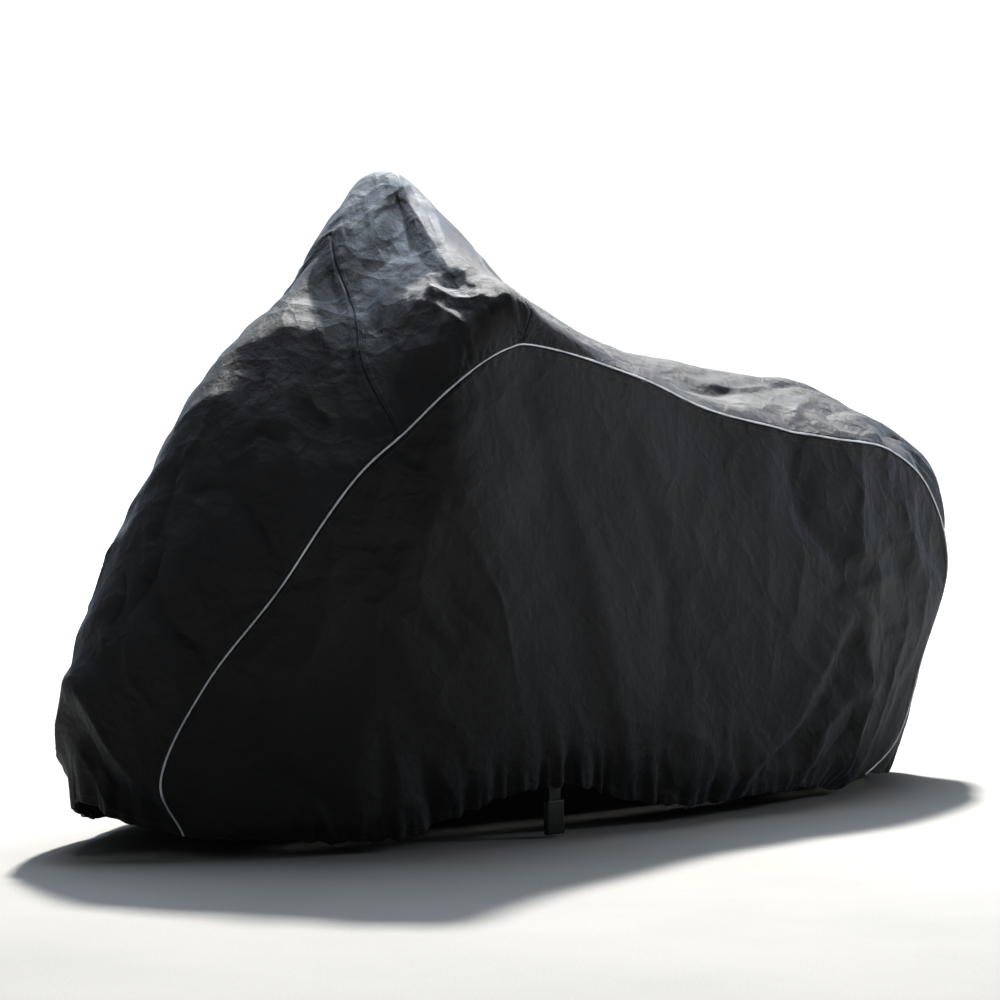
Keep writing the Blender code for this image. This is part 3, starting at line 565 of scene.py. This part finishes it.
# Steps of a sheet's grid in from a seam and in from a hem, and how far apart its lines are
# between them.
SEAM_STEPS = (0.0015, 0.0020, 0.0030, 0.0045, 0.0060)
HEM_STEPS = (0.0030, 0.0035, 0.0045, 0.0060)
SIDE_HEIGHT = 0.90
SIDE_STEP = 0.0085
SIDE_COLUMNS = 410

# Beside a seam the sewing holds the cloth flat, puckers it in two crossing waves and dips it.
SEWN_FLAT = 0.022
PUCKER_WAVES = (0.031, 0.019)
PUCKER_HEIGHT = 0.0011
PUCKER_REACH = 0.012
DIP_DEPTH = 0.0022
DIP_REACH = 0.0028

# The elastic pulls a side panel's hem most between the wheels, and hardly where it is short.
# It lifts the hem in waves too.
PULL = {"least": 0.55, "more": 0.6, "rib": 8.2, "reach": 2.4}
TALL_PANEL = 0.4
GATHER_SLANT = 0.15
LIFT = {"height": 0.004, "wave": 0.060, "reach": 0.05}
END_PULL = 0.7  # at the front and rear, where the seams beside them hold the gathers back
END_SEAMS = 0.03

# A hem turns under in a roll, with rows at these angles round it and at these heights inside.
# ROLL_LENGTHS are the rows' distances from the edge, along the cloth.
HEM_ROLL = 0.0035
ROLL_ANGLES = (0.7, 1.4, 2.1, 2.8, math.pi)
ROLL_RISES = (0.008, 0.018)
ROLL_LENGTHS = np.array([0.0015, 0.003, 0.005, 0.007, 0.009, 0.017, 0.027])
FLOOR_GAP = 0.0015

# Rows of a sheet's grid that are sewn through: beside a piped seam, beside the seams across
# the strip and at the top of the casing that the elastic runs in. Each sheet adds its sewn
# rows to stitch_rows.
SEAM_ROW = 4
CROSS_SEAM_ROWS = {"hood_cloth": (2, 4, -3, -5), "seat_cloth": (SEAM_ROW,), "front_cloth": ()}
CASING_ROW = 6
stitch_rows = []


def graded(total, first, last, step):
    """Shares from 0 to 1 along a length: short steps at its ends, where seams and hems are."""
    start = np.cumsum([0.0, *first])
    end = total - np.cumsum([0.0, *last])[::-1]
    middle = np.linspace(start[-1], end[0], round((end[0] - start[-1]) / step) + 1)
    return np.concatenate([start, middle[1:-1], end]) / total


def hold_back(grid, axis, end, distance):
    """Draws one border of a grid of points in over the cloth."""
    border, inner = (0, 1) if end == "first" else (-1, -2)
    moved = np.moveaxis(grid, axis, 0)
    way = moved[inner] - moved[border]
    moved[border] += way / length(way) * distance


def seam_distances(points, axis):
    """Distances of a grid's points from its first and last border along an axis."""
    along_rows = arc_lengths(points, axis)
    whole = np.take(along_rows, [-1], axis=axis)
    return along_rows, whole - along_rows


def lay(points, normals, across, rib, cloth_u, cloth_v, seams, seed):
    """Works the facets and the seams' puckers into a grid of places on the cover. seams are
    the distances from each sewn border."""
    open_cloth = np.ones(rib.shape)
    for distance in seams:
        open_cloth *= 1 - bell(distance, SEWN_FLAT)
    amount = slack(across, rib) * open_cloth
    heights = np.zeros(rib.shape)
    for k, facets in enumerate(FACETS):
        heights += amount * facet_heights(cloth_u, cloth_v, facets, seed + k)
    for k, distance in enumerate(seams):
        pucker = ripple(cloth_u + 0.3 * cloth_v, PUCKER_WAVES[0], seed + k)
        pucker += 0.6 * ripple(cloth_u - cloth_v, PUCKER_WAVES[1], seed)
        heights += PUCKER_HEIGHT * pucker * bell(distance - PUCKER_REACH, PUCKER_REACH)
        heights -= DIP_DEPTH * bell(distance, DIP_REACH)
    return points + normals * heights[..., None]


def gathers(along_hem, from_hem, seeds):
    """Heights of the gathers that the elastic draws a hem into."""
    heights = np.zeros(from_hem.shape)
    for gather, seed in zip(GATHERS, seeds, strict=True):
        heights += gather.height * ripple(along_hem, gather.wave, seed) * bell(from_hem, gather.reach)
    return heights


def above_floor(points):
    """Keeps the lowest cloth just clear of the ground."""
    points[..., 2] = np.maximum(points[..., 2], FLOOR_GAP)
    return points


def add_hem(points, marks, normals, axis, end):
    """Turns a grid's first or last border along an axis under, round a small roll and up
    inside, and clear of the ground."""
    edge, inner, way = (0, 1, -1.0) if end == "first" else (-1, -2, 1.0)
    points, marks, normals = (np.moveaxis(grid, axis, 0) for grid in (points, marks, normals))
    start, out = points[edge], normals[edge]
    down = start - points[inner]
    down /= length(down)
    rows = [start + HEM_ROLL * (math.sin(a) * down - (1 - math.cos(a)) * out) for a in ROLL_ANGLES]
    rows += [start - 2 * HEM_ROLL * out - rise * down for rise in ROLL_RISES]
    beyond = np.zeros(3)
    beyond[axis] = way
    rows, row_marks = np.stack(rows), marks[edge] + ROLL_LENGTHS[:, None, None] * beyond
    if end == "first":
        pairs = (rows[::-1], points), (row_marks[::-1], marks)
    else:
        pairs = (points, rows), (marks, row_marks)
    points, marks = (np.moveaxis(np.concatenate(pair), 0, axis) for pair in pairs)
    return above_floor(points), marks


def sew(points, normals, axis, rows):
    """Marks rows of a grid as sewn through."""
    for row in rows:
        stitch_rows.append(tuple(np.moveaxis(grid, axis, 0)[row] for grid in (points, normals)))


def finish_piece(obj, slot, node):
    """Gives a piece its material and its body, and hides the CAD node that it stands for."""
    obj.data.materials.clear()
    obj.data.materials.append(materials[slot])
    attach(obj, "root")
    if node:
        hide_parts(node)


def grid_primitive(name, steps_u, steps_v, size):
    bpy.ops.object.select_all(action="DESELECT")
    bpy.ops.mesh.primitive_grid_add(x_subdivisions=steps_u, y_subdivisions=steps_v, size=size)
    bpy.context.object.name = name
    return bpy.context.object


def thicken(obj, thickness, offset):
    """Gives a sheet its thickness: on its inner side at -1, half on each side at 0."""
    solid = obj.modifiers.new("thickness", "SOLIDIFY")
    solid.thickness = thickness
    solid.offset = offset
    bpy.ops.object.modifier_apply(modifier=solid.name)
    bpy.ops.object.shade_smooth()


def sheet_from(name, node, points, marks):
    """A sheet from a grid primitive whose vertices are laid on the points. marks are the cut
    cloth's own lengths and how slack it is."""
    steps_u, steps_v = points.shape[0] - 1, points.shape[1] - 1
    obj = grid_primitive(name, steps_u, steps_v, 2)
    mesh = obj.data
    mesh.name = name
    flat = np.empty(len(mesh.vertices) * 3)
    mesh.vertices.foreach_get("co", flat)
    flat = flat.reshape(-1, 3)
    i = np.rint((flat[:, 0] + 1) / 2 * steps_u).astype(int)
    j = np.rint((flat[:, 1] + 1) / 2 * steps_v).astype(int)
    mesh.vertices.foreach_set("co", points[i, j].ravel())
    corners = np.empty(len(mesh.loops), np.int32)
    mesh.loops.foreach_get("vertex_index", corners)
    mesh.uv_layers[0].data.foreach_set("uv", marks[i, j, :2][corners].ravel())
    loose = mesh.attributes.new("slack", "FLOAT", "POINT")
    loose.data.foreach_set("value", marks[i, j, 2].ravel())
    mesh.update()
    thicken(obj, CLOTH, -1.0)
    finish_piece(obj, "cover_cloth", node)
    return obj


def side_panel(word, side):
    """The cloth from the gathered hem up to the piping on one side."""
    rib = np.linspace(0, LAST_RIB, SIDE_COLUMNS + 1)[:, None]
    line = SEAM * graded(SIDE_HEIGHT, HEM_STEPS, SEAM_STEPS[::-1], SIDE_STEP)[None]
    points, normals = covers(side, rib, line)
    rib, line = (np.broadcast_to(grid, points.shape[:2]) for grid in (rib, line))
    across = side * (RIDGE - line)
    hold_back(points, 1, "last", PIPING_RADIUS + GAP)
    cloth_u, cloth_v = points[..., 0], points[..., 2]
    from_hem, from_seam = seam_distances(points, 1)
    points = lay(points, normals, across, rib, cloth_u, cloth_v, [from_seam], 20 + int(side))
    along_hem = arc_lengths(points[:, :1], 0)
    pull = PULL["least"] + PULL["more"] * bell(rib - PULL["rib"], PULL["reach"])
    pull = pull * np.clip(np.take(from_hem, [-1], axis=1) / TALL_PANEL, 0, 1)
    drawn_in = gathers(along_hem + GATHER_SLANT * from_hem, from_hem, (side, 3 + side, 6 + side))
    points = points + normals * (pull * drawn_in)[..., None]
    wave = LIFT["height"] * ripple(along_hem, LIFT["wave"], side)
    points[..., 2] += pull * wave * bell(from_hem, LIFT["reach"])
    points = above_floor(points)
    sew(points, normals, 1, (-SEAM_ROW, CASING_ROW))
    marks = np.stack([cloth_u, cloth_v, slack(across, rib)], axis=-1)
    points, marks = add_hem(points, marks, normals, 1, "first")
    if side > 0:
        points, marks = points[:, ::-1], marks[:, ::-1]
    return sheet_from("side_cloth_" + word, "side_panel_" + word, points, marks)


def cut_rib(at, line):
    """The rib number of a cut where it crosses a line of the strip."""
    share = ((line - SEAM) / (RIDGE - SEAM)) ** at.curve
    return at.at_seam + (at.at_ridge - at.at_seam) * share


def ridge_length(rib):
    """How far along the ridge a rib stands, in metres."""
    at = np.linspace(0, LAST_RIB, 400)
    ridge = smooth_cover(np.full(400, -1.0), at, np.full(400, float(RIDGE)))
    return np.interp(rib, at, arc_lengths(ridge, 0))


# The centre strip's sheets, each between two cuts: its grid steps in from each end, its
# length, width and step for the grid, and the flat size and area of its cut cloth.
Strip = namedtuple("Strip", "name node start end ends long wide step flat area")
STRIPS = (
    Strip(
        "front_cloth", "front_panel", FRONT_HEM, FRONT_SEAM, (HEM_STEPS, SEAM_STEPS),
        1.25, 0.75, 0.0075, (1.25, 1.05), 0.64,
    ),
    Strip(
        "hood_cloth", "hood_panel", FRONT_SEAM, HOOD_SEAM, (SEAM_STEPS, SEAM_STEPS),
        0.62, 1.10, 0.0065, (0.60, 1.20), 0.38,
    ),
    Strip(
        "seat_cloth", "seat_panel", HOOD_SEAM, REAR_HEM, (SEAM_STEPS, HEM_STEPS),
        2.05, 0.62, 0.0075, (2.10, 0.95), 1.11,
    ),
)


def strip_panel(strip):
    """The centre strip's cloth between two cuts, from the left piping to the right one."""
    share_across = graded(strip.wide, SEAM_STEPS, SEAM_STEPS[::-1], strip.step)[None]
    share = graded(strip.long, strip.ends[0], strip.ends[1][::-1], strip.step)[:, None]
    across = SEAM * (2 * share_across - 1)
    line = RIDGE - np.abs(across)
    first, last = cut_rib(strip.start, line), cut_rib(strip.end, line)
    rib = first + (last - first) * share
    points, normals = covers(np.where(across < 0, -1.0, 1.0), rib, line)
    across = np.broadcast_to(across, rib.shape)
    ends = dict(zip(("first", "last"), strip.ends, strict=True))
    for end, steps in ends.items():
        if steps is SEAM_STEPS:
            hold_back(points, 0, end, GAP)
    for end in ends:
        hold_back(points, 1, end, PIPING_RADIUS + GAP)
    from_ends = dict(zip(ends, seam_distances(points, 0), strict=True))
    beside_piping = seam_distances(points, 1)
    seams = [*beside_piping, *(from_ends[end] for end in ends if ends[end] is SEAM_STEPS)]
    cloth_u = ridge_length(rib)
    from_left = beside_piping[0]
    cloth_v = from_left - from_left[:, [from_left.shape[1] // 2]]
    points = lay(points, normals, across, rib, cloth_u, cloth_v, seams, len(strip.name))
    marks = np.stack([cloth_u, cloth_v, slack(across, rib)], axis=-1)
    sew(points, normals, 1, (SEAM_ROW - 1, -SEAM_ROW))
    sew(points, normals, 0, CROSS_SEAM_ROWS[strip.name])
    for end, steps in ends.items():
        if steps is HEM_STEPS:
            points, marks = gathered_end(points, marks, normals, end)
    return sheet_from(strip.name, strip.node, points, marks)


def gathered_end(points, marks, normals, end):
    """Gathers the strip's front or rear end and turns it under as a hem."""
    first = end == "first"
    from_hem = seam_distances(points, 0)[0 if first else 1]
    along_hem = arc_lengths(points[[0 if first else -1]], 1)
    from_side = np.minimum(along_hem, along_hem[:, -1:] - along_hem)
    pull = END_PULL * (1 - bell(from_side, END_SEAMS))
    points = points + normals * (pull * gathers(along_hem, from_hem, (2, 7, 12)))[..., None]
    sew(points, normals, 0, [CASING_ROW if first else -1 - CASING_ROW])
    return add_hem(points, marks, normals, 0, end)


# ---- finishes ----


def add(tree, kind, given=None, **settings):
    """A shader node with some of its settings, and values or links given to its inputs."""
    made = tree.nodes.new("ShaderNode" + kind)
    for key, value in settings.items():
        setattr(made, key, value)
    for key, value in (given or {}).items():
        feed(tree, made.inputs[key], value)
    return made


def feed(tree, socket, value):
    """Sets a node's input, or links another node's output to it."""
    if isinstance(value, bpy.types.NodeSocket):
        tree.links.new(value, socket)
    elif hasattr(value, "__len__") and socket.type == "RGBA":
        socket.default_value = (*value, 1.0)
    else:
        socket.default_value = value


def calculate(tree, operation, a, b=0.0):
    return add(tree, "Math", {0: a, 1: b}, operation=operation).outputs[0]


def mixed(tree, a, share_a, b, share_b):
    """The sum of two values, each times its share."""
    parts = [calculate(tree, "MULTIPLY", value, share) for value, share in ((a, share_a), (b, share_b))]
    return calculate(tree, "ADD", *parts)


def noise(tree, place, scale, detail, roughness):
    given = {"Vector": place, "Scale": scale, "Detail": detail, "Roughness": roughness}
    return add(tree, "TexNoise", given).outputs["Fac"]


def ranged(tree, value, low, high, to_low=0.0, to_high=1.0):
    return add(tree, "MapRange", dict(enumerate((value, low, high, to_low, to_high)))).outputs[0]


def blend_colors(tree, factor, a, b):
    return add(tree, "Mix", {0: factor, 6: a, 7: b}, data_type="RGBA").outputs[2]


def bump(tree, height, distance, strength, under=None):
    made = add(tree, "Bump", {"Height": height, "Distance": distance, "Strength": strength})
    if under is not None:
        feed(tree, made.inputs["Normal"], under)
    return made.outputs["Normal"]


def new_finish(name, even):
    """A material, with the shader values that are even all over it, and its coordinates."""
    made = bpy.data.materials.new(name)
    made.use_nodes = True
    tree = made.node_tree
    shader = tree.nodes["Principled BSDF"].inputs
    for key, value in even.items():
        feed(tree, shader[key], value)
    return made, tree, shader, add(tree, "TexCoord").outputs["Object"]


THREAD_PITCH = 0.0011
THREAD_SCALE = 1 / THREAD_PITCH
WAVES_TO_SCALE = math.pi / 10  # from waves a metre to the scale of a wave node


def weave(tree, threads):
    """Height of a plain weave over a UV map in metres: warp and weft threads by turns."""
    turns = add(tree, "TexChecker", {"Vector": threads, "Scale": THREAD_SCALE}).outputs["Fac"]
    given = {"Vector": threads, "Scale": THREAD_SCALE * WAVES_TO_SCALE}
    warp, weft = (add(tree, "TexWave", given, bands_direction=way).outputs["Fac"] for way in "XY")
    return add(tree, "Mix", {0: turns, 2: warp, 3: weft}, data_type="FLOAT").outputs[0]


def pressed_lines(tree, place, scale):
    """Height of the keen, crooked lines between the flat facets of cloth that was folded up."""
    bends = add(tree, "TexNoise", {"Vector": place, "Scale": scale * 0.5}).outputs["Color"]
    given = {0: bends, 1: (0.9 / scale,) * 3, 2: place}
    crooked = add(tree, "VectorMath", given, operation="MULTIPLY_ADD").outputs[0]
    cells = add(tree, "TexVoronoi", {"Vector": crooked, "Scale": scale}, feature="DISTANCE_TO_EDGE")
    return ranged(tree, cells.outputs["Distance"], 0.0, 0.16, 1.0, 0.0)


def cover_cloth():
    """Black coated polyester: a fine plain weave under a thin coat, with small pressed
    wrinkles, dust that settles low down and duller and shinier places."""
    even = {"Specular IOR Level": 0.48, "Sheen Weight": 0.24, "Sheen Roughness": 0.3}
    made, tree, shader, place = new_finish("cover_cloth", even | {"Sheen Tint": (0.60, 0.78, 1.0)})
    threads = add(tree, "UVMap").outputs["UV"]
    height = add(tree, "SeparateXYZ", {0: place}).outputs["Z"]
    low = ranged(tree, height, 0.0, 0.22, 1.0, 0.0)
    patches = noise(tree, place, 3.2, 4.0, 0.6)
    specks = noise(tree, place, 420.0, 2.0, 0.6)
    woven = weave(tree, threads)
    dusty = calculate(tree, "MULTIPLY", low, ranged(tree, patches, 0.42, 0.75))
    tone = mixed(tree, patches, 0.5, woven, 0.5)
    color = blend_colors(tree, tone, (0.004, 0.004, 0.005), (0.012, 0.012, 0.0135))
    color = blend_colors(tree, calculate(tree, "MULTIPLY", dusty, 0.35), color, (0.060, 0.054, 0.048))
    feed(tree, shader["Base Color"], color)
    dull = mixed(tree, ranged(tree, patches, 0.3, 0.7, 0.56, 0.66), 1.0, specks, 0.08)
    feed(tree, shader["Roughness"], dull)
    loose = add(tree, "Attribute", attribute_name="slack").outputs["Fac"]
    crumpled = noise(tree, place, 26.0, 4.0, 0.62)
    ridged = calculate(tree, "ABSOLUTE", calculate(tree, "SUBTRACT", crumpled, 0.5))
    fine = noise(tree, place, 85.0, 3.0, 0.6)
    pressed = mixed(tree, pressed_lines(tree, place, 7.0), 1.0, pressed_lines(tree, place, 19.0), 0.3)
    normal = bump(tree, calculate(tree, "MULTIPLY", pressed, loose), 0.0042, 1.0)
    normal = bump(tree, ridged, 0.012, 0.55, normal)
    normal = bump(tree, fine, 0.0018, 0.5, normal)
    normal = bump(tree, woven, 0.00028, 0.6, normal)
    feed(tree, shader["Normal"], normal)
    return made


def reflective_piping():
    """Light grey reflective tape wrapped round a cord: fine beads and a slight grime."""
    made, tree, shader, place = new_finish("reflective_piping", {"Roughness": 0.42, "Metallic": 0.35})
    grime = noise(tree, place, 22.0, 4.0, 0.6)
    beads = noise(tree, place, 1400.0, 1.0, 0.5)
    color = blend_colors(tree, ranged(tree, grime, 0.4, 0.7), (0.60, 0.62, 0.66), (0.36, 0.37, 0.40))
    feed(tree, shader["Base Color"], color)
    feed(tree, shader["Normal"], bump(tree, beads, 0.0002, 0.5))
    return made


def black_thread(name, dark, light):
    """Black polyester thread, twisted and a little fluffy, for sewing or woven in webbing."""
    made, tree, shader, place = new_finish(name, {"Roughness": 0.7, "Sheen Weight": 0.3})
    twist = noise(tree, place, 2600.0, 2.0, 0.5)
    worn = noise(tree, place, 60.0, 3.0, 0.6)
    color = blend_colors(tree, twist, (dark, dark, dark * 1.1), (light, light, light * 1.08))
    faded = (light * 1.8, light * 1.75, light * 1.7)
    color = blend_colors(tree, ranged(tree, worn, 0.55, 0.8, 0.0, 0.5), color, faded)
    feed(tree, shader["Base Color"], color)
    feed(tree, shader["Normal"], bump(tree, twist, 0.0002, 0.6))
    return made


def buckle_plastic():
    """Moulded black plastic with a fine spark-eroded grain and a few rubbed places."""
    made, tree, shader, place = new_finish("buckle_plastic", {})
    grain = noise(tree, place, 1500.0, 3.0, 0.6)
    rubbed = noise(tree, place, 90.0, 3.0, 0.6)
    color = blend_colors(tree, ranged(tree, rubbed, 0.5, 0.75), (0.008, 0.008, 0.009), (0.022, 0.022, 0.024))
    feed(tree, shader["Base Color"], color)
    feed(tree, shader["Roughness"], ranged(tree, rubbed, 0.35, 0.7, 0.36, 0.55))
    feed(tree, shader["Normal"], bump(tree, grain, 0.0002, 0.35))
    return made


def pale_floor():
    """Pale, finely grained floor that grows paler far away and glows white there, a painted glow that blends
    it into the white backdrop.
    """
    made, tree, shader, place = new_finish("pale_floor", {"Roughness": 0.85, "Specular IOR Level": 0.25})
    cloudy = noise(tree, place, 1.4, 5.0, 0.6)
    grains = noise(tree, place, 190.0, 3.0, 0.7)
    tone = mixed(tree, cloudy, 0.5, grains, 0.5)
    color = blend_colors(tree, ranged(tree, tone, 0.35, 0.65), (0.315, 0.31, 0.30), (0.38, 0.372, 0.36))
    # Further off the floor turns paler and glows white: painted light standing in for a brightly lit
    # backdrop.
    distance = add(tree, "VectorMath", {0: place}, operation="LENGTH").outputs["Value"]
    far = ranged(tree, distance, 2.5, 8.0)
    feed(tree, shader["Base Color"], blend_colors(tree, far, color, (0.6, 0.6, 0.6)))
    feed(tree, shader["Emission Color"], (1.0, 1.0, 1.0))
    feed(tree, shader["Emission Strength"], ranged(tree, distance, 3.5, 7.5))
    feed(tree, shader["Normal"], bump(tree, grains, 0.0008, 0.3))
    return made


materials = {
    "cover_cloth": cover_cloth(),
    "reflective_piping": reflective_piping(),
    "strap_webbing": black_thread("strap_webbing", 0.006, 0.022),
    "sewing_thread": black_thread("sewing_thread", 0.030, 0.070),
    "buckle_plastic": buckle_plastic(),
}


# ---- piping, sewing and straps ----

PIPING_POINTS = 560
PIPING_WAVES = ((0.07, 0.012, 1), (0.05, 0.031, 2))  # share of its thickness, length and seed
STITCH = 0.0040  # length of a stitch, with a shorter gap before the next
STITCH_PITCH = 0.0056
STITCH_START = 0.003
STITCH_RISES = np.array([-0.0005, 0.0004, -0.0005])[:, None]  # up through the cloth and down
THREAD_RADIUS = 0.00045

WEBBING_GRID = (56, 24)
WEBBING_RIBS = 9
WEBBING_RIB = 0.00022
WEBBING_BOW = 0.0012
WEBBING_FRONT = 0.0010  # how far the webbing's middle stands out from that of its solid
WEBBING_NARROW = 0.02
WEBBING = 0.0018  # thickness


def round_thread(radius, resolution):
    """A curve that becomes a round thread or cord."""
    curve = bpy.data.curves.new("thread", "CURVE")
    curve.dimensions = "3D"
    curve.bevel_depth = radius
    curve.bevel_resolution = resolution
    return curve


def run_thread(curve, places, thick):
    """Adds one run of thread through places, with its thickness at each."""
    spline = curve.splines.new("POLY")
    spline.points.add(len(places) - 1)
    for spot, place, radius in zip(spline.points, places, thick, strict=True):
        spot.co = (*place, 1.0)
        spot.radius = radius


def mesh_from(curve, name, slot, node=None):
    """Makes a curve a smooth mesh piece."""
    obj = bpy.data.objects.new(name, curve)
    bpy.context.collection.objects.link(obj)
    bpy.ops.object.select_all(action="DESELECT")
    obj.select_set(True)
    bpy.context.view_layer.objects.active = obj
    bpy.ops.object.convert(target="MESH")
    bpy.ops.object.shade_smooth()
    finish_piece(bpy.context.object, slot, node)


def piping(word, side):
    """The reflective cord in the long seam, a little uneven where the stitches grip it."""
    rib = np.linspace(0, LAST_RIB, PIPING_POINTS)
    points, _ = covers(side, rib, float(SEAM))
    points = above_floor(points)
    curve = round_thread(PIPING_RADIUS, 2)
    curve.use_fill_caps = True
    at = arc_lengths(points, 0)
    thick = 1 + sum(share * ripple(at, wave, seed * side) for share, wave, seed in PIPING_WAVES)
    run_thread(curve, points, thick)
    mesh_from(curve, "piping_cord_" + word, "reflective_piping", "piping_" + word)


def stitching():
    """All the lines of sewing: each stitch is a short thread that comes up through the cloth
    and goes down again."""
    curve = round_thread(THREAD_RADIUS, 0)
    for points, normals in stitch_rows:
        at = arc_lengths(points[:, None], 0)[:, 0]
        for start in np.arange(STITCH_START, at[-1] - STITCH, STITCH_PITCH):
            spots = start + STITCH * np.array([0.0, 0.5, 1.0])
            thread, lift = (
                np.stack([np.interp(spots, at, grid[:, k]) for k in range(3)], axis=1)
                for grid in (points, normals)
            )
            run_thread(curve, thread + lift * STITCH_RISES, (1.0, 1.0, 1.0))
    mesh_from(curve, "stitches", "sewing_thread")


def strap(word):
    """The belly strap's webbing: ribbed along its length, a little bowed and slightly narrower in places."""
    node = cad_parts["belly_strap_" + word]
    corners = np.array([node.matrix_world @ Vector(corner) for corner in node.bound_box])
    low, high = corners.min(axis=0), corners.max(axis=0)
    middle = (low + high) / 2
    width, tall = high[0] - low[0], high[2] - low[2]
    front = -WEBBING_FRONT if word == "left" else WEBBING_FRONT
    obj = grid_primitive("strap_webbing_" + word, *WEBBING_GRID, 1)
    for vertex in obj.data.vertices:
        across, up = vertex.co.x, vertex.co.y
        selvedge = min(1, 12 * (0.5 - abs(across)))
        rib = WEBBING_RIB * math.cos(2 * math.pi * WEBBING_RIBS * across) * selvedge
        bow = WEBBING_BOW * math.cos(math.pi * up) * (1 - 1.4 * across)
        vertex.co.x = middle[0] + across * width * (1 - WEBBING_NARROW * math.cos(9 * up))
        vertex.co.y = middle[1] + front + math.copysign(rib + bow, front)
        vertex.co.z = middle[2] + up * tall
    thicken(obj, WEBBING, 0.0)
    finish_piece(obj, "strap_webbing", "belly_strap_" + word)


# ---- making the cover ----

for word, side in SIDES:
    cloth = side_panel(word, side)
for strip in STRIPS:
    cloth = strip_panel(strip)
for word, side in SIDES:
    piping(word, side)
stitching()
for word, _ in SIDES:
    strap(word)
for name in ("buckle_housing_left", "buckle_plug_right"):
    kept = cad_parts[name].data.materials
    kept.clear()
    kept.append(materials["buckle_plastic"])


# ---- floor, light and camera ----

FLOOR_SIZE = 90
SOFT_LIGHT = 0.12  # of the studio all round, beside the white backdrop's 1


def floor():
    """A wide pale floor."""
    bpy.ops.object.select_all(action="DESELECT")
    bpy.ops.mesh.primitive_plane_add(size=FLOOR_SIZE, location=(0, 0, 0))
    made = bpy.context.object
    made.name = "floor"
    made.data.materials.append(pale_floor())


def studio_world():
    """Soft even light all round, with a white backdrop."""
    world = bpy.data.worlds.new("studio")
    bpy.context.scene.world = world
    world.use_nodes = True
    tree = world.node_tree
    seen = add(tree, "LightPath").outputs["Is Camera Ray"]
    light = tree.nodes["Background"]
    feed(tree, light.inputs["Color"], blend_colors(tree, seen, (0.88, 0.94, 1.0), (1.0, 1.0, 1.0)))
    feed(tree, light.inputs["Strength"], ranged(tree, seen, 0.0, 1.0, SOFT_LIGHT, 1.0))


def area_light(name, place, aim, size, power, color, spread):
    light = bpy.data.lights.new(name, "AREA")
    light.spread = math.radians(spread)
    light.shape = "SQUARE"
    light.size = size
    light.energy = power
    light.color = color
    obj = bpy.data.objects.new(name, light)
    obj.location = place
    obj.rotation_euler = (Vector(aim) - Vector(place)).to_track_quat("-Z", "Y").to_euler()
    bpy.context.collection.objects.link(obj)


# From behind and above, from overhead, on the hood, and across the left flank from the rear:
# name, place, the point aimed at, size, power, color and spread in degrees.
LIGHTS = (
    ("key", (3.60, 3.75, 7.4), (0, 0, 0.5), 0.6, 1950, (1.0, 0.97, 0.92), 180),
    ("overhead", (1.5, 1.9, 6.2), (0, 0, 0.6), 5.0, 380, (0.78, 0.88, 1.0), 180),
    ("hood", (0.22, 0.60, 4.6), (-0.38, -0.06, 1.20), 0.24, 1.0, (0.78, 0.88, 1.0), 4),
    ("rake", (4.3, -2.5, 2.0), (0.3, -0.35, 0.6), 0.9, 44, (0.88, 0.94, 1.0), 180),
)

floor()
studio_world()
for light in LIGHTS:
    area_light(*light)
bpy.context.scene.view_settings.view_transform = "Standard"
bpy.context.scene.view_settings.look = "Medium High Contrast"

camera_data = bpy.data.cameras.new("camera")
camera_data.lens = 129.6
camera = bpy.data.objects.new("camera", camera_data)
camera.location = (-4.5528, -5.6737, 0.981)
camera.rotation_euler = (math.radians(90 - 2.83), 0, math.radians(-38))
bpy.context.collection.objects.link(camera)
bpy.context.scene.camera = camera
